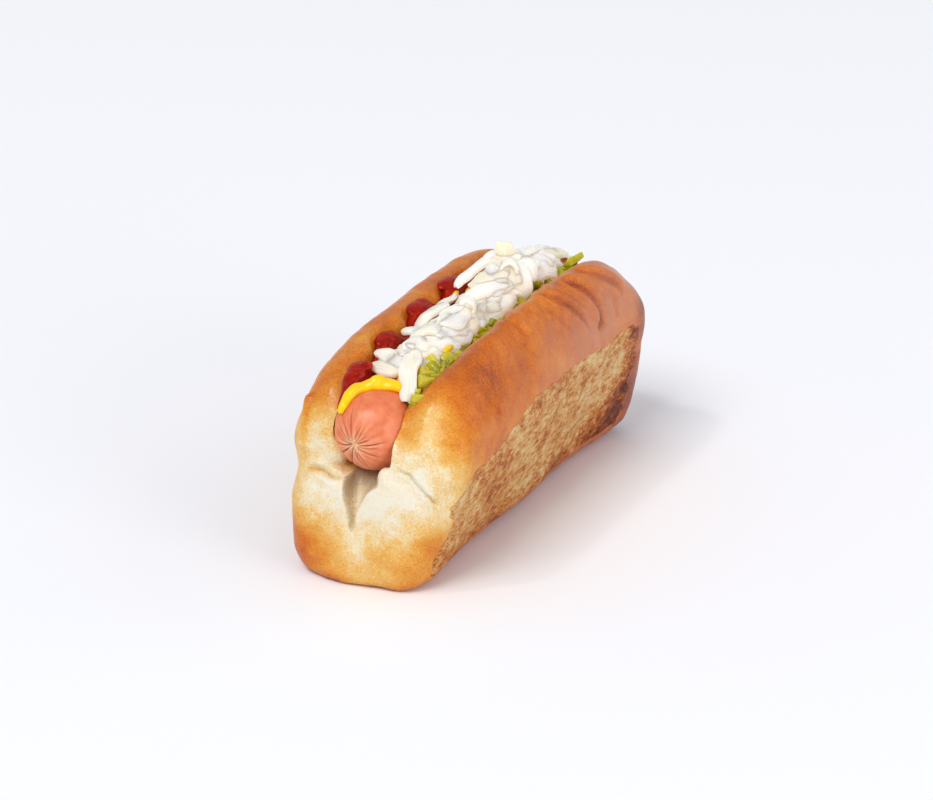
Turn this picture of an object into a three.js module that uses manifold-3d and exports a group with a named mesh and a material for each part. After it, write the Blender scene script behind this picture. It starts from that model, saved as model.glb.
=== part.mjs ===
// A frankfurter in a split-top roll with ketchup, mustard, green relish and
// chopped onion. Millimetres, +Z up. The roll lies along Y and stands on Z = 0;
// the origin is under the middle of the roll.

import * as THREE from 'three';
import { mergeVertices } from 'three/addons/utils/BufferGeometryUtils.js';
import Module from 'manifold-3d';

const wasm = await Module();
wasm.setup();

// ---- Driving dimensions ----------------------------------------------------

const GAP = 0.3; // clearance between neighbouring pieces

// Roll
const BUN_LENGTH = 152;
const BUN_WIDTH = 60;
const CROWN_HEIGHT = 73; // highest line of the right lobe
const LEFT_CROWN_HEIGHT = 71.8;
const CROWN_X = 20.8; // the lobes' crowns lie this far from the middle
const SHOULDER_HEIGHT = 50; // the roll is widest here
const WAIST_HEIGHT = 35; // below it the ends are upright, above it they roll back
const BASE_LEFT = -18; // flat strip that the roll stands on
const BASE_RIGHT = 13;
const LIP_LEFT = -15.2; // edges of the split
const LIP_RIGHT = 12.4;
const LIP_HEIGHT = 64.5;
const NEAR_SWEEP = { length: 52, drop: 30 }; // how the crown falls to each end
const FAR_SWEEP = { length: 44, drop: 27 };
const SWEEP_POWER = 1.8;
// Upright corners, seen from above. The near left one is rounder above the waist.
const CORNERS = { nearLeft: 8, nearLeftTop: 14, nearRight: 11, farLeft: 9, farRight: 5.5 };
const FOOT_RADIUS = 3; // lower edge of the end faces

// Split
const SPLIT_BOTTOM = 17;
const SPLIT_BOTTOM_X = -5;
const LIP_LEAN = 3.2; // the lips close in towards the near end
const SPLIT_MOUTH = 0.7; // rounding where the split opens in the end faces
const SPLIT_REACH = 11; // the gape under the frankfurter closes this far in
// How far the right wall closes in on the frankfurter's near end, as [z, shift].
const NEAR_PINCH = [
  [17, 0.8],
  [20, 1.3],
  [30, 2.7],
  [43.6, 3.5],
  [50, 2.2],
  [58, 0.6],
  [64.5, 0],
];
// Height of the crease across each end face, as [x, z].
const NEAR_CREASE = [
  [-28, 32],
  [-20, 36],
  [-8, 36.6],
  [8, 41],
  [16, 40],
  [24, 31.5],
];
const FAR_CREASE = [
  [-24, 33],
  [24, 30],
];

// Frankfurter
const SAUSAGE_RADIUS = 12.7;
const SAUSAGE_LENGTH = 150.6;
const SAUSAGE_X = -1.5;
const SAUSAGE_HEIGHT = 50;

// Toppings
const ONION_THICKNESS = 2;
const RELISH_DICE = 4.2;

const HALF = BUN_LENGTH / 2;

// ---- Small helpers ---------------------------------------------------------

const vec = (x, y, z) => new THREE.Vector3(x, y, z);
const smooth = (a, b, x) => THREE.MathUtils.smoothstep(x, a, b);

// Repeatable random numbers between 0 and 1.
function randomFrom(seed) {
  let state = seed;
  return () => {
    state = (state * 16807) % 2147483647;
    return state / 2147483647;
  };
}

// Value at y on a line through [y, value] pairs.
function along(pairs, y) {
  const last = pairs.length - 1;
  if (y <= pairs[0][0]) return pairs[0][1];
  if (y >= pairs[last][0]) return pairs[last][1];
  const i = pairs.findIndex(([at]) => at > y);
  const [y0, v0] = pairs[i - 1];
  const [y1, v1] = pairs[i];
  return THREE.MathUtils.lerp(v0, v1, (y - y0) / (y1 - y0));
}

// Fall of a quarter oval: 1 at t = 0, 0 from t = 1 on.
function quarterFall(t, power) {
  if (t >= 1) return 0;
  return 1 - (1 - (1 - t) ** power) ** (1 / power);
}

function signedVolume(geometry) {
  const p = geometry.attributes.position;
  const index = geometry.index;
  const [a, b, c] = [vec(0, 0, 0), vec(0, 0, 0), vec(0, 0, 0)];
  let total = 0;
  for (let i = 0; i < index.count; i += 3) {
    a.fromBufferAttribute(p, index.getX(i));
    b.fromBufferAttribute(p, index.getX(i + 1));
    c.fromBufferAttribute(p, index.getX(i + 2));
    total += a.dot(b.cross(c)) / 6;
  }
  return total;
}

// One closed body: shared points merged, empty triangles dropped, facing out.
function closedBody(geometry) {
  const bare = geometry.clone();
  bare.deleteAttribute('normal');
  bare.deleteAttribute('uv');
  const merged = mergeVertices(bare, 1e-4);
  const corners = [];
  for (let i = 0; i < merged.index.count; i += 3) {
    const [a, b, c] = [0, 1, 2].map((k) => merged.index.getX(i + k));
    if (a !== b && b !== c && c !== a) corners.push([a, b, c]);
  }
  merged.setIndex(corners.flat());
  if (signedVolume(merged) < 0) merged.setIndex(corners.map(([a, b, c]) => [b, a, c]).flat());
  return merged;
}

// Triangles gathered one by one into a closed body.
class Skin {
  constructor() {
    this.points = [];
  }

  triangle(a, b, c) {
    this.points.push(a, b, c);
  }

  quad(a, b, c, d) {
    this.triangle(a, b, c);
    this.triangle(a, c, d);
  }

  // Rows of points joined to a sheet; each row may close on itself.
  sheet(rows, closed) {
    for (let r = 0; r + 1 < rows.length; r += 1) {
      const count = rows[r].length;
      const last = closed ? count : count - 1;
      for (let i = 0; i < last; i += 1) {
        const j = (i + 1) % count;
        this.quad(rows[r][i], rows[r][j], rows[r + 1][j], rows[r + 1][i]);
      }
    }
  }

  // Rows joined to a tube, each end closed by a fan to its tip.
  tube(firstTip, rows, lastTip) {
    this.sheet(rows, true);
    const count = rows[0].length;
    for (let i = 0; i < count; i += 1) {
      const j = (i + 1) % count;
      this.triangle(firstTip, rows[0][j], rows[0][i]);
      this.triangle(lastTip, rows.at(-1)[i], rows.at(-1)[j]);
    }
  }

  body() {
    return closedBody(new THREE.BufferGeometry().setFromPoints(this.points));
  }
}

// The same geometry, every point moved out along its normal.
function swollen(geometry, amount) {
  const copy = geometry.clone();
  copy.deleteAttribute('normal');
  copy.computeVertexNormals();
  const p = copy.attributes.position;
  const n = copy.attributes.normal;
  for (let i = 0; i < p.count; i += 1) {
    p.setXYZ(
      i,
      p.getX(i) + n.getX(i) * amount,
      p.getY(i) + n.getY(i) * amount,
      p.getZ(i) + n.getZ(i) * amount,
    );
  }
  copy.deleteAttribute('normal');
  return copy;
}

function toManifold(body) {
  return new wasm.Manifold(
    new wasm.Mesh({
      numProp: 3,
      vertProperties: new Float32Array(body.attributes.position.array),
      triVerts: new Uint32Array(body.index.array),
    }),
  );
}

// All the pieces of a topping joined to one solid, each first swollen by grow.
function fused(pieces, grow = 0) {
  return pieces
    .map((piece) => toManifold(grow ? swollen(piece, grow) : piece))
    .reduce((sum, solid) => sum.add(solid));
}

// The largest closed body alone, so scraps and sealed hollows are gone.
function largestBody(solid) {
  return solid.decompose().reduce((best, body) => (body.volume() > best.volume() ? body : best));
}

function toGeometry(solid) {
  const mesh = solid.getMesh();
  const geometry = new THREE.BufferGeometry();
  geometry.setAttribute('position', new THREE.BufferAttribute(mesh.vertProperties, 3));
  geometry.setIndex(new THREE.BufferAttribute(mesh.triVerts, 1));
  return geometry;
}

// A round-ended bead along a smooth line. Each station holds [x, y, z, half
// width, half height].
function bead(stations, sides, steps) {
  const line = new THREE.CatmullRomCurve3(stations.map(([x, y, z]) => vec(x, y, z)));
  const sizes = new THREE.CatmullRomCurve3(stations.map(([, , , wide, tall]) => vec(wide, tall, 0)));
  const rows = [];
  for (let k = 0; k <= steps; k += 1) {
    const centre = line.getPoint(k / steps);
    const ahead = line.getTangent(k / steps);
    const { x: wide, y: tall } = sizes.getPoint(k / steps);
    const side = ahead.clone().cross(vec(0, 0, 1)).normalize();
    const above = side.clone().cross(ahead);
    const around = (angle) =>
      centre
        .clone()
        .addScaledVector(side, wide * Math.cos(angle))
        .addScaledVector(above, tall * Math.sin(angle));
    rows.push(Array.from({ length: sides }, (_, i) => around((2 * Math.PI * i) / sides)));
  }
  const skin = new Skin();
  const tip = (t, size) => line.getPoint(t).addScaledVector(line.getTangent(t), size * 0.7);
  skin.tube(tip(0, -stations[0][4]), rows, tip(1, stations.at(-1)[4]));
  return skin.body();
}

// A strip cut from an onion layer: cupped across, its ends narrower. The spine
// holds [point, outward direction] pairs.
function layerStrip(spine, width, cup) {
  const section = [
    [-1, 0],
    [-0.5, 0.5],
    [0.5, 0.5],
    [1, 0],
    [0.5, -0.5],
    [-0.5, -0.5],
  ];
  const rows = spine.map(([point, out], k) => {
    const before = spine[Math.max(k - 1, 0)][0];
    const after = spine[Math.min(k + 1, spine.length - 1)][0];
    const side = after.clone().sub(before).cross(out).normalize();
    const half = (width / 2) * (0.65 + 0.35 * Math.sin((Math.PI * k) / (spine.length - 1)));
    return section.map(([across, through]) =>
      point
        .clone()
        .addScaledVector(side, across * half)
        .addScaledVector(out, through * ONION_THICKNESS - cup * across * across),
    );
  });
  const ends = [spine[0][0], spine.at(-1)[0]];
  const skin = new Skin();
  skin.tube(ends[0], rows, ends[1]);
  return skin.body();
}

// ---- Roll ------------------------------------------------------------------

const OUTLINE_POINTS = 34;

// Crust line of the cross-section, from the left lip round the foot to the right.
function crustOutline() {
  const half = BUN_WIDTH / 2;
  const left = LEFT_CROWN_HEIGHT;
  const right = CROWN_HEIGHT;
  const path = new THREE.Path();
  path.moveTo(LIP_LEFT, LIP_HEIGHT);
  path.bezierCurveTo(-16, 69, -17.6, left, -CROWN_X, left);
  path.bezierCurveTo(-25.8, left, -half, 63.5, -half, SHOULDER_HEIGHT);
  path.bezierCurveTo(-half, 36, -29.6, 24, -28.2, 8);
  path.bezierCurveTo(-27.6, 2, -24, 0, BASE_LEFT, 0);
  path.lineTo(BASE_RIGHT, 0);
  path.bezierCurveTo(17.2, 0, 18.8, 1.5, 19.6, 5);
  path.bezierCurveTo(22, 19, half, 33, half, SHOULDER_HEIGHT);
  path.bezierCurveTo(half, 64, 26.2, right, CROWN_X, right);
  path.bezierCurveTo(17, right, 13.2, 69.5, LIP_RIGHT, LIP_HEIGHT);
  return path.getSpacedPoints(OUTLINE_POINTS - 1);
}

// Cut line of the split, from the left lip down round the frankfurter's seat
// to the open bottom and up to the right lip.
function splitOutline() {
  const seat = SEAT_RADIUS;
  const deg = THREE.MathUtils.degToRad;
  const path = new THREE.Path();
  path.moveTo(LIP_LEFT, LIP_HEIGHT);
  path.lineTo(SAUSAGE_X + seat * Math.cos(deg(160)), SAUSAGE_HEIGHT + seat * Math.sin(deg(160)));
  path.absarc(SAUSAGE_X, SAUSAGE_HEIGHT, seat, deg(160), deg(249), false);
  path.lineTo(SPLIT_BOTTOM_X - 1, SPLIT_BOTTOM + 3);
  path.quadraticCurveTo(
    SPLIT_BOTTOM_X - 1,
    SPLIT_BOTTOM,
    SPLIT_BOTTOM_X + 1.8,
    SPLIT_BOTTOM + 3,
  );
  path.lineTo(SAUSAGE_X + seat * Math.cos(deg(331)), SAUSAGE_HEIGHT + seat * Math.sin(deg(331)));
  path.absarc(SAUSAGE_X, SAUSAGE_HEIGHT, seat, deg(331), deg(384), false);
  path.lineTo(LIP_RIGHT, LIP_HEIGHT);
  return path.getSpacedPoints(OUTLINE_POINTS - 1);
}

// The split's outline at a distance from an end: it gapes there, and its floor
// rises to the frankfurter further in.
function gapingSplit(split, fromEnd) {
  const rise = smooth(0, SPLIT_REACH, fromEnd);
  const floor = THREE.MathUtils.lerp(SPLIT_BOTTOM, SAUSAGE_HEIGHT - SEAT_RADIUS, rise);
  const low = split.filter((p) => p.y < floor);
  if (low.length < 3) return split;
  return split.map((p) => {
    const share = low.indexOf(p) / (low.length - 1);
    return share < 0 ? p : new THREE.Vector2(THREE.MathUtils.lerp(low[0].x, low.at(-1).x, share), floor);
  });
}

// Outward directions of an open outline.
function outlineNormals(points) {
  return points.map((point, i) => {
    const a = points[Math.max(i - 1, 0)];
    const b = points[Math.min(i + 1, points.length - 1)];
    return new THREE.Vector2(b.y - a.y, a.x - b.x).normalize();
  });
}

// Height of the crown line at y, falling to both ends.
function crownHeight(y) {
  const near = quarterFall((y + HALF) / NEAR_SWEEP.length, SWEEP_POWER);
  const far = quarterFall((HALF - y) / FAR_SWEEP.length, SWEEP_POWER);
  return CROWN_HEIGHT - NEAR_SWEEP.drop * near - FAR_SWEEP.drop * far;
}

// How far the end faces stand back from a flat end: a belly that is fullest in
// the middle, and the lobes set back above the crease.
function faceSetback(x, z, near) {
  const creaseHeight = along(near ? NEAR_CREASE : FAR_CREASE, x);
  const plan = 2 * ((x - 3) / 26) ** 2;
  const foot = 2.4 * (1 - smooth(0, 12, z));
  const lobe = near && x < 0 ? 4.6 : 2.4;
  const above = lobe * smooth(creaseHeight - 5, creaseHeight + 5, z);
  return plan + foot + above;
}

// Soft folds across the right lobe, and slight waves along the left one.
const LOBE_FOLDS = [-14, 10, 25, 35];

function lobeWave(x, y, z) {
  const high = smooth(SHOULDER_HEIGHT, CROWN_HEIGHT - 5, z);
  if (x < 0) return 0.5 * high * Math.sin(y / 9);
  const slant = y + 0.5 * (x - CROWN_X);
  const folds = LOBE_FOLDS.map((at) => Math.exp(-(((slant - at) / 2.6) ** 2)));
  return -1.2 * high * folds.reduce((sum, fold) => sum + fold, 0);
}

// Distances of the rings from an end: close together where the end rounds over.
function endSteps(count, reach) {
  return Array.from({ length: count + 1 }, (_, k) => reach * (k / count) ** 2.2);
}

function bunRings() {
  const near = endSteps(10, 46).map((d) => -HALF + d);
  const far = endSteps(9, 40)
    .map((d) => HALF - d)
    .reverse();
  const middle = [];
  const from = near.at(-1);
  const count = 11;
  for (let k = 1; k < count; k += 1) middle.push(THREE.MathUtils.lerp(from, far[0], k / count));
  return [...near, ...middle, ...far];
}

// The frankfurter presses the crumb back to its own seat, round at both ends.
const SEAT_RADIUS = SAUSAGE_RADIUS + GAP * 1.6;

function clearOfSeat(x, y, z, hugging) {
  const past = Math.max(Math.abs(y) - (SAUSAGE_LENGTH / 2 - SAUSAGE_RADIUS), 0);
  const seat = Math.sqrt(Math.max(SEAT_RADIUS ** 2 - past ** 2, 0));
  const [dx, dz] = [x - SAUSAGE_X, z - SAUSAGE_HEIGHT];
  const push = Math.max(seat / Math.hypot(dx, dz), hugging ? seat / SEAT_RADIUS : 1);
  return vec(SAUSAGE_X + dx * push, y, SAUSAGE_HEIGHT + dz * push);
}

// The left lobe lies lower than the right one and sags behind its middle. This
// is how much of its height it loses at y.
function leftDip(y) {
  const sag = 0.035 * Math.exp(-(((y - 24) / 22) ** 2)) + 0.018 * Math.exp(-(((y - 54) / 12) ** 2));
  return 0.055 * smooth(-74, -52, y) + sag;
}

// Radius of the upright corner that a point belongs to.
function cornerRadius(x, y, z) {
  if (y < 0 && x > 0) return CORNERS.nearRight;
  if (y > 0) return x > 0 ? CORNERS.farRight : CORNERS.farLeft;
  return THREE.MathUtils.lerp(CORNERS.nearLeft, CORNERS.nearLeftTop, smooth(32, 50, z));
}

// One point of the roll at ring y. Inset rounds the corners, squeeze lowers the
// lobes towards the ends, and the lips follow the crown down and lean inwards.
function bunPoint(point, normal, lipShare, y, isCrust) {
  const fromNear = y + HALF;
  const fromFar = HALF - y;
  const edge = Math.min(fromNear, fromFar);
  const crown = crownHeight(y);
  const full = CROWN_HEIGHT - WAIST_HEIGHT;
  const squeeze = (crown - WAIST_HEIGHT) / full - (point.x < 0 ? leftDip(y) : 0);
  let { x, y: z } = point;
  if (isCrust) {
    const calm = 1 - lipShare;
    const corner = cornerRadius(x, y, z);
    const inset = corner * quarterFall(edge / corner, 2) * smooth(4, 29, Math.abs(x));
    x -= Math.sign(x) * inset * calm;
    z -= Math.min(normal.y, 0) * FOOT_RADIUS * quarterFall(edge / FOOT_RADIUS, 2);
    const wave = lobeWave(x, y, z) * smooth(8, 30, edge) * calm;
    x += normal.x * wave;
    z += normal.y * wave;
    const waist = 1.8 * Math.exp(-(((y + 35) / 22) ** 2)) - 2.2 * smooth(34, 66, y);
    x -= waist * smooth(8, 16, x) * (1 - smooth(4, 40, z));
    const fromCrease = z - NEAR_CREASE[0][1];
    const dent = 2.8 * Math.exp(-((fromCrease / 4.5) ** 2)) * (1 - smooth(4, 22, fromNear));
    x += dent * smooth(12, 24, -x);
  } else {
    const mouth = SPLIT_MOUTH * quarterFall(edge / SPLIT_MOUTH, 2) * (1 - lipShare);
    x -= normal.x * mouth;
    z -= normal.y * mouth;
  }
  if (z > WAIST_HEIGHT) {
    const lift = (CROWN_HEIGHT - LIP_HEIGHT) * squeeze * (1 - squeeze * squeeze);
    z = WAIST_HEIGHT + (z - WAIST_HEIGHT) * squeeze + lift * lipShare;
  }
  x -= Math.sign(x) * LIP_LEAN * lipShare * (1 - smooth(12, 40, fromNear));
  if (!isCrust && point.x > SPLIT_BOTTOM_X) {
    x -= along(NEAR_PINCH, point.y) * (1 - smooth(2, 18, fromNear));
  }
  const nearShift = faceSetback(x, z, true) * (1 - smooth(0, 26, fromNear));
  const farShift = faceSetback(x, z, false) * (1 - smooth(0, 26, fromFar));
  const hugging = !isCrust && Math.hypot(x - SAUSAGE_X, z - SAUSAGE_HEIGHT) < SEAT_RADIUS + 0.6;
  return clearOfSeat(x, y + nearShift - farShift, z, hugging && x < SPLIT_BOTTOM_X);
}

function bunBody() {
  const crust = crustOutline();
  const split = splitOutline();
  const crustNormals = outlineNormals(crust);
  const splitNormals = outlineNormals(split).map((n) => n.negate());
  const lipShare = crust.map((_, i) => {
    const fromLip = Math.min(i, OUTLINE_POINTS - 1 - i) / 3;
    return fromLip >= 1 ? 0 : (1 - fromLip) ** 2 * (1 + 2 * fromLip);
  });
  const rings = bunRings();
  const crustRows = rings.map((y) =>
    crust.map((p, i) => bunPoint(p, crustNormals[i], lipShare[i], y, true)),
  );
  const isLip = (i) => i === 0 || i === OUTLINE_POINTS - 1;
  const splitRows = rings.map((y, r) => {
    const row = gapingSplit(split, HALF - Math.abs(y));
    return row.map((p, i) =>
      isLip(i) ? crustRows[r][i] : bunPoint(p, splitNormals[i], lipShare[i], y, false),
    );
  });
  const skin = new Skin();
  skin.sheet(crustRows, false);
  skin.sheet([...splitRows].reverse(), false);
  skin.sheet(endFace(splitRows[0], crustRows[0], true), false);
  skin.sheet(endFace(crustRows.at(-1), splitRows.at(-1), false), false);
  return skin.body();
}

// Rows across an end face, slightly full between the crust and the split.
function endFace(fromRow, toRow, near) {
  const count = 4;
  const rows = [];
  for (let k = 0; k <= count; k += 1) {
    const t = k / count;
    rows.push(
      fromRow.map((point, i) => {
        if (point === toRow[i] || t === 0) return point;
        if (t === 1) return toRow[i];
        const p = point.clone().lerp(toRow[i], t);
        const end = near ? -HALF + faceSetback(p.x, p.z, true) : HALF - faceSetback(p.x, p.z, false);
        return vec(p.x, end, p.z);
      }),
    );
  }
  return rows;
}

// ---- Frankfurter -----------------------------------------------------------

function sausageBody() {
  const straight = SAUSAGE_LENGTH / 2 - SAUSAGE_RADIUS;
  const arcSteps = 6;
  const cap = Array.from({ length: arcSteps + 1 }, (_, k) => {
    const angle = (Math.PI / 2) * (k / arcSteps);
    const radius = SAUSAGE_RADIUS * Math.sin(angle);
    return new THREE.Vector2(radius, straight + SAUSAGE_RADIUS * Math.cos(angle));
  });
  const otherCap = cap.map((p) => new THREE.Vector2(p.x, -p.y)).reverse();
  const body = new THREE.LatheGeometry([...cap, ...otherCap], 28);
  return closedBody(body).translate(SAUSAGE_X, 0, SAUSAGE_HEIGHT);
}

// ---- Ketchup and mustard ---------------------------------------------------

// Ketchup fills the gutter between the frankfurter and the left lobe and runs
// up the lobe's edge in four swellings.
const KETCHUP_LINE = [
  [-9.8, -69.5, 57.5, 1.4, 1.4],
  [-11, -62, 61.2, 2.6, 2.4],
  [-12.6, -53, 63, 4.4, 3.6],
  [-12, -42, 60.6, 2.8, 2.6],
  [-13.6, -30, 63.8, 4.2, 3.4],
  [-12, -19.5, 61, 2.8, 2.6],
  [-14.4, -6.5, 65.6, 4.6, 3.8],
  [-12.4, 5, 61.6, 2.8, 2.6],
  [-13.8, 17, 65.2, 4.6, 3.8],
  [-12.6, 32, 63.6, 3.6, 3.2],
  [-11.6, 46, 61.5, 3.2, 2.8],
  [-11, 57, 59, 2.2, 2.2],
];

// The mustard bead starts on the left of the frankfurter's near end, crosses
// it and goes on in a zigzag under the onion.
const MUSTARD_START = [
  [-9.4, -71, 57.4, 1.2, 1.2],
  [-9, -67.6, 61, 2, 1.8],
  [-7.2, -62.8, 63, 2.3, 2.1],
  [-2.8, -59.2, 64, 2.4, 2.2],
  [1.4, -57, 64, 2.4, 2.2],
  [4, -53.8, 62.2, 2, 1.5],
];
const MUSTARD_TURNS = 12;
const MUSTARD_STEP = 8.6;
const MUSTARD_SWING = 3.6;

function mustardLine() {
  const line = [...MUSTARD_START];
  for (let k = 1; k <= MUSTARD_TURNS; k += 1) {
    const swing = MUSTARD_SWING * Math.sin((Math.PI / 2) * (k + 1));
    line.push([SAUSAGE_X + swing, -51 + MUSTARD_STEP * k, 64 - 0.06 * swing ** 2, 2.4, 2.2]);
  }
  return line;
}

// ---- Relish ----------------------------------------------------------------

// Diced green relish lies between the onion and the right lobe.
const RELISH_LINE = [
  [12.2, -66, 56, 2.2, 2],
  [12, -55, 59.6, 2.8, 2.6],
  [10.6, -37, 61, 3.6, 3],
  [9.6, -12, 61, 3.6, 3],
  [10, 12, 61.4, 3.8, 3.2],
  [10, 36, 61.4, 3.8, 3.2],
  [9.6, 54, 59.6, 3.4, 3],
  [9, 64, 55.6, 2.4, 2.2],
];
const RELISH_COUNT = 32;
// Pieces that stand out: [x, y, z] and size.
const RELISH_HEROES = [
  [12, -57.5, 61, 5],
  [11.4, -50.5, 63.8, 5.4],
  [11.4, -42.5, 64.8, 5],
  [8.4, -51.5, 62.4, 5.2],
  [8, -46, 64.2, 5.4],
  [8.8, -40.5, 65.4, 4.8],
  [9.6, -33.5, 64.8, 4.6],
  [8.6, -9.5, 65, 4.6],
  [10.2, -3.5, 65.4, 4.6],
  [11, 55, 65.8, 4.4],
];

const between = (low, high, share) => low + (high - low) * share;

function dice(size, place, next) {
  const box = new THREE.BoxGeometry(
    size * between(0.8, 1.25, next()),
    size * between(0.8, 1.25, next()),
    size * between(0.6, 0.9, next()),
  );
  box.rotateX(between(-0.7, 0.7, next()));
  box.rotateY(between(-0.7, 0.7, next()));
  box.rotateZ(Math.PI * next());
  return closedBody(box.translate(...place));
}

function relishDice() {
  const next = randomFrom(2024);
  const pieces = RELISH_HEROES.map(([x, y, z, size]) => dice(size, [x, y, z], next));
  const middle = RELISH_LINE.map(([x, y]) => [y, x]);
  const top = RELISH_LINE.map(([, y, z, , tall]) => [y, z + tall]);
  for (let i = 0; i < RELISH_COUNT; i += 1) {
    const y = between(-66, 63, (i + next()) / RELISH_COUNT);
    const x = along(middle, y) + between(-2.6, 2.6, next());
    const z = along(top, y) + between(-1.2, 0.4, next());
    pieces.push(dice(RELISH_DICE * between(0.7, 1.1, next()), [x, y, z], next));
  }
  return pieces;
}

// ---- Onion -----------------------------------------------------------------

// Height of the heap's ridge, as [y, z].
const ONION_RIDGE = [
  [-50, 64],
  [-41, 68.6],
  [-25, 69.8],
  [5, 70],
  [15, 73],
  [25, 76],
  [35, 73],
  [46, 69],
  [57, 65],
  [66, 58],
];
const ONION_MIDDLE = 0.8;
const ONION_HALF_WIDTH = 7.5;
const ONION_COUNT = 12;

// The strips that show most: from, to, width, bow along the strip, and the way
// the strip's outside faces.
const ONION_STRIPS = [
  { from: [-0.4, -38, 69.4], to: [8.2, -60.4, 60.4], width: 6.4, bow: 2.6, face: [0.2, -0.7, 0.6] },
  { from: [-2, -42, 70], to: [9.4, -25.5, 67], width: 5.2, bow: 0.6, face: [0.3, -0.5, 1] },
  { from: [0.6, -38, 66], to: [10.8, -27.4, 64.6], width: 4.4, bow: 0.6, face: [0.5, -0.6, 0.8] },
  { from: [-10.4, -26.5, 67.6], to: [0, -28, 70], width: 4.2, bow: 0.8, face: [0, -0.4, 1] },
  { from: [-6.4, -27, 69], to: [-4.2, -8, 71.4], width: 5, bow: 0.8, face: [-0.5, -0.3, 1] },
  { from: [-1, -27, 69.5], to: [6, -14, 69.5], width: 6, bow: 1, face: [0.4, -0.5, 1] },
  { from: [2, -24, 70.4], to: [0.4, -9, 72.4], width: 5, bow: 0.8, face: [0.2, -0.2, 1] },
  { from: [-10.4, -41, 66.4], to: [0.6, -49, 64.6], width: 11, bow: 0.6, face: [0.1, -0.2, 1] },
  { from: [-8, 5, 71.6], to: [-3, 31, 77], width: 4.2, bow: 0.4, face: [-0.3, -0.3, 1] },
  { from: [0, 25, 73], to: [0, 24, 82.6], width: 7, bow: 0.5, face: [0.3, -1, 0.2] },
  { from: [5, 22, 77], to: [9.6, 16.6, 66], width: 10, bow: 1.6, face: [0.7, -0.8, 0.6] },
  { from: [-3, 8, 70.6], to: [10, 11, 67.4], width: 6, bow: 1, face: [0.2, -0.5, 1] },
  { from: [5.6, -7, 68.4], to: [9.6, 13, 67.2], width: 4, bow: 0.8, face: [0.6, -0.2, 1] },
  { from: [1, 12, 72], to: [7, 27, 72], width: 5, bow: 1, face: [0.4, -0.3, 1] },
  { from: [-3, 38, 71.4], to: [7, 48, 68], width: 7, bow: 1.4, face: [0.2, -0.4, 1] },
  { from: [-5, 50, 67], to: [6, 55, 65], width: 6, bow: 1, face: [0.1, 0, 1] },
  { from: [8, 30, 70], to: [9.4, 46, 65.5], width: 6, bow: 1, face: [0.8, -0.2, 0.8] },
];

// The tight curl that stands on the heap.
const ONION_CURL = { centre: [4.6, -11.4, 72.2], radius: 2.6, sweep: 5.2, width: 5 };

function onionStrip({ from, to, width, bow, face }) {
  const [a, b, out] = [vec(...from), vec(...to), vec(...face).normalize()];
  const steps = 3;
  const spine = Array.from({ length: steps + 1 }, (_, k) => {
    const t = k / steps;
    return [a.clone().lerp(b, t).addScaledVector(out, bow * Math.sin(Math.PI * t)), out];
  });
  return layerStrip(spine, width, 0.12 * width);
}

function onionCurl({ centre, radius, sweep, width }) {
  const steps = 7;
  const spine = Array.from({ length: steps + 1 }, (_, k) => {
    const angle = -0.6 + (sweep * k) / steps;
    const out = vec(0.88 * Math.cos(angle), 0.48 * Math.cos(angle), Math.sin(angle));
    return [vec(...centre).addScaledVector(out, radius), out];
  });
  return layerStrip(spine, width, 0.2);
}

function onionPieces() {
  const core = ONION_RIDGE.slice(1, -1).map(([y, ridge]) => {
    const tall = (ridge - 60) / 2 - 0.6;
    return [ONION_MIDDLE, y, 60 + tall, ONION_HALF_WIDTH, tall];
  });
  const pieces = [bead(core, 8, 14), onionCurl(ONION_CURL), ...ONION_STRIPS.map(onionStrip)];
  const next = randomFrom(77);
  for (let i = 0; i < ONION_COUNT; i += 1) {
    const y = between(-40, 62, (i + next()) / ONION_COUNT);
    const off = between(-1, 1, next());
    const x = ONION_MIDDLE + off * 0.85 * ONION_HALF_WIDTH;
    const z = along(ONION_RIDGE, y) - 3 * off * off - between(0, 1.6, next());
    const turn = Math.PI * next();
    const reach = between(3.6, 6.4, next());
    const run = vec(Math.sin(turn), Math.cos(turn), between(-0.25, 0.25, next()));
    const middle = vec(x, y, z);
    pieces.push(
      onionStrip({
        from: middle.clone().addScaledVector(run, -reach).toArray(),
        to: middle.clone().addScaledVector(run, reach).toArray(),
        width: between(3, 5.2, next()),
        bow: between(0.4, 1.2, next()),
        face: [0.5 * off, 0, 1],
      }),
    );
  }
  return pieces;
}

// ---- Assembly --------------------------------------------------------------

const finish = {
  bun: { color: 0xb8682f, roughness: 0.5 },
  sausage: { color: 0xc9654c, roughness: 0.35 },
  ketchup: { color: 0x8f1208, roughness: 0.15 },
  mustard: { color: 0xf0b800, roughness: 0.3 },
  relish: { color: 0x8a9a2a, roughness: 0.3 },
  onions: { color: 0xe9e6da, roughness: 0.35 },
};

function toMesh(name, geometry) {
  geometry.computeVertexNormals();
  const mesh = new THREE.Mesh(geometry, new THREE.MeshStandardMaterial(finish[name]));
  mesh.name = name;
  return mesh;
}

const bun = [bunBody()];
const sausage = [sausageBody()];
const ketchup = [bead(KETCHUP_LINE, 8, 26)];
const mustard = [bead(mustardLine(), 6, 34)];
const relishBed = [bead(RELISH_LINE, 8, 16)];
const onions = onionPieces();

// Each topping gives way, with a gap, to what it was laid on. The onion beds
// into the relish, and loose dice of relish give way to the onion.
const grown = (...layers) => layers.map((layer) => fused(layer, GAP)).reduce((a, b) => a.add(b));
const rolled = grown(bun, sausage);
const sauced = rolled.add(grown(mustard));
const dicedRelish = fused(relishDice()).subtract(grown(onions)).add(fused(relishBed));

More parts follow.
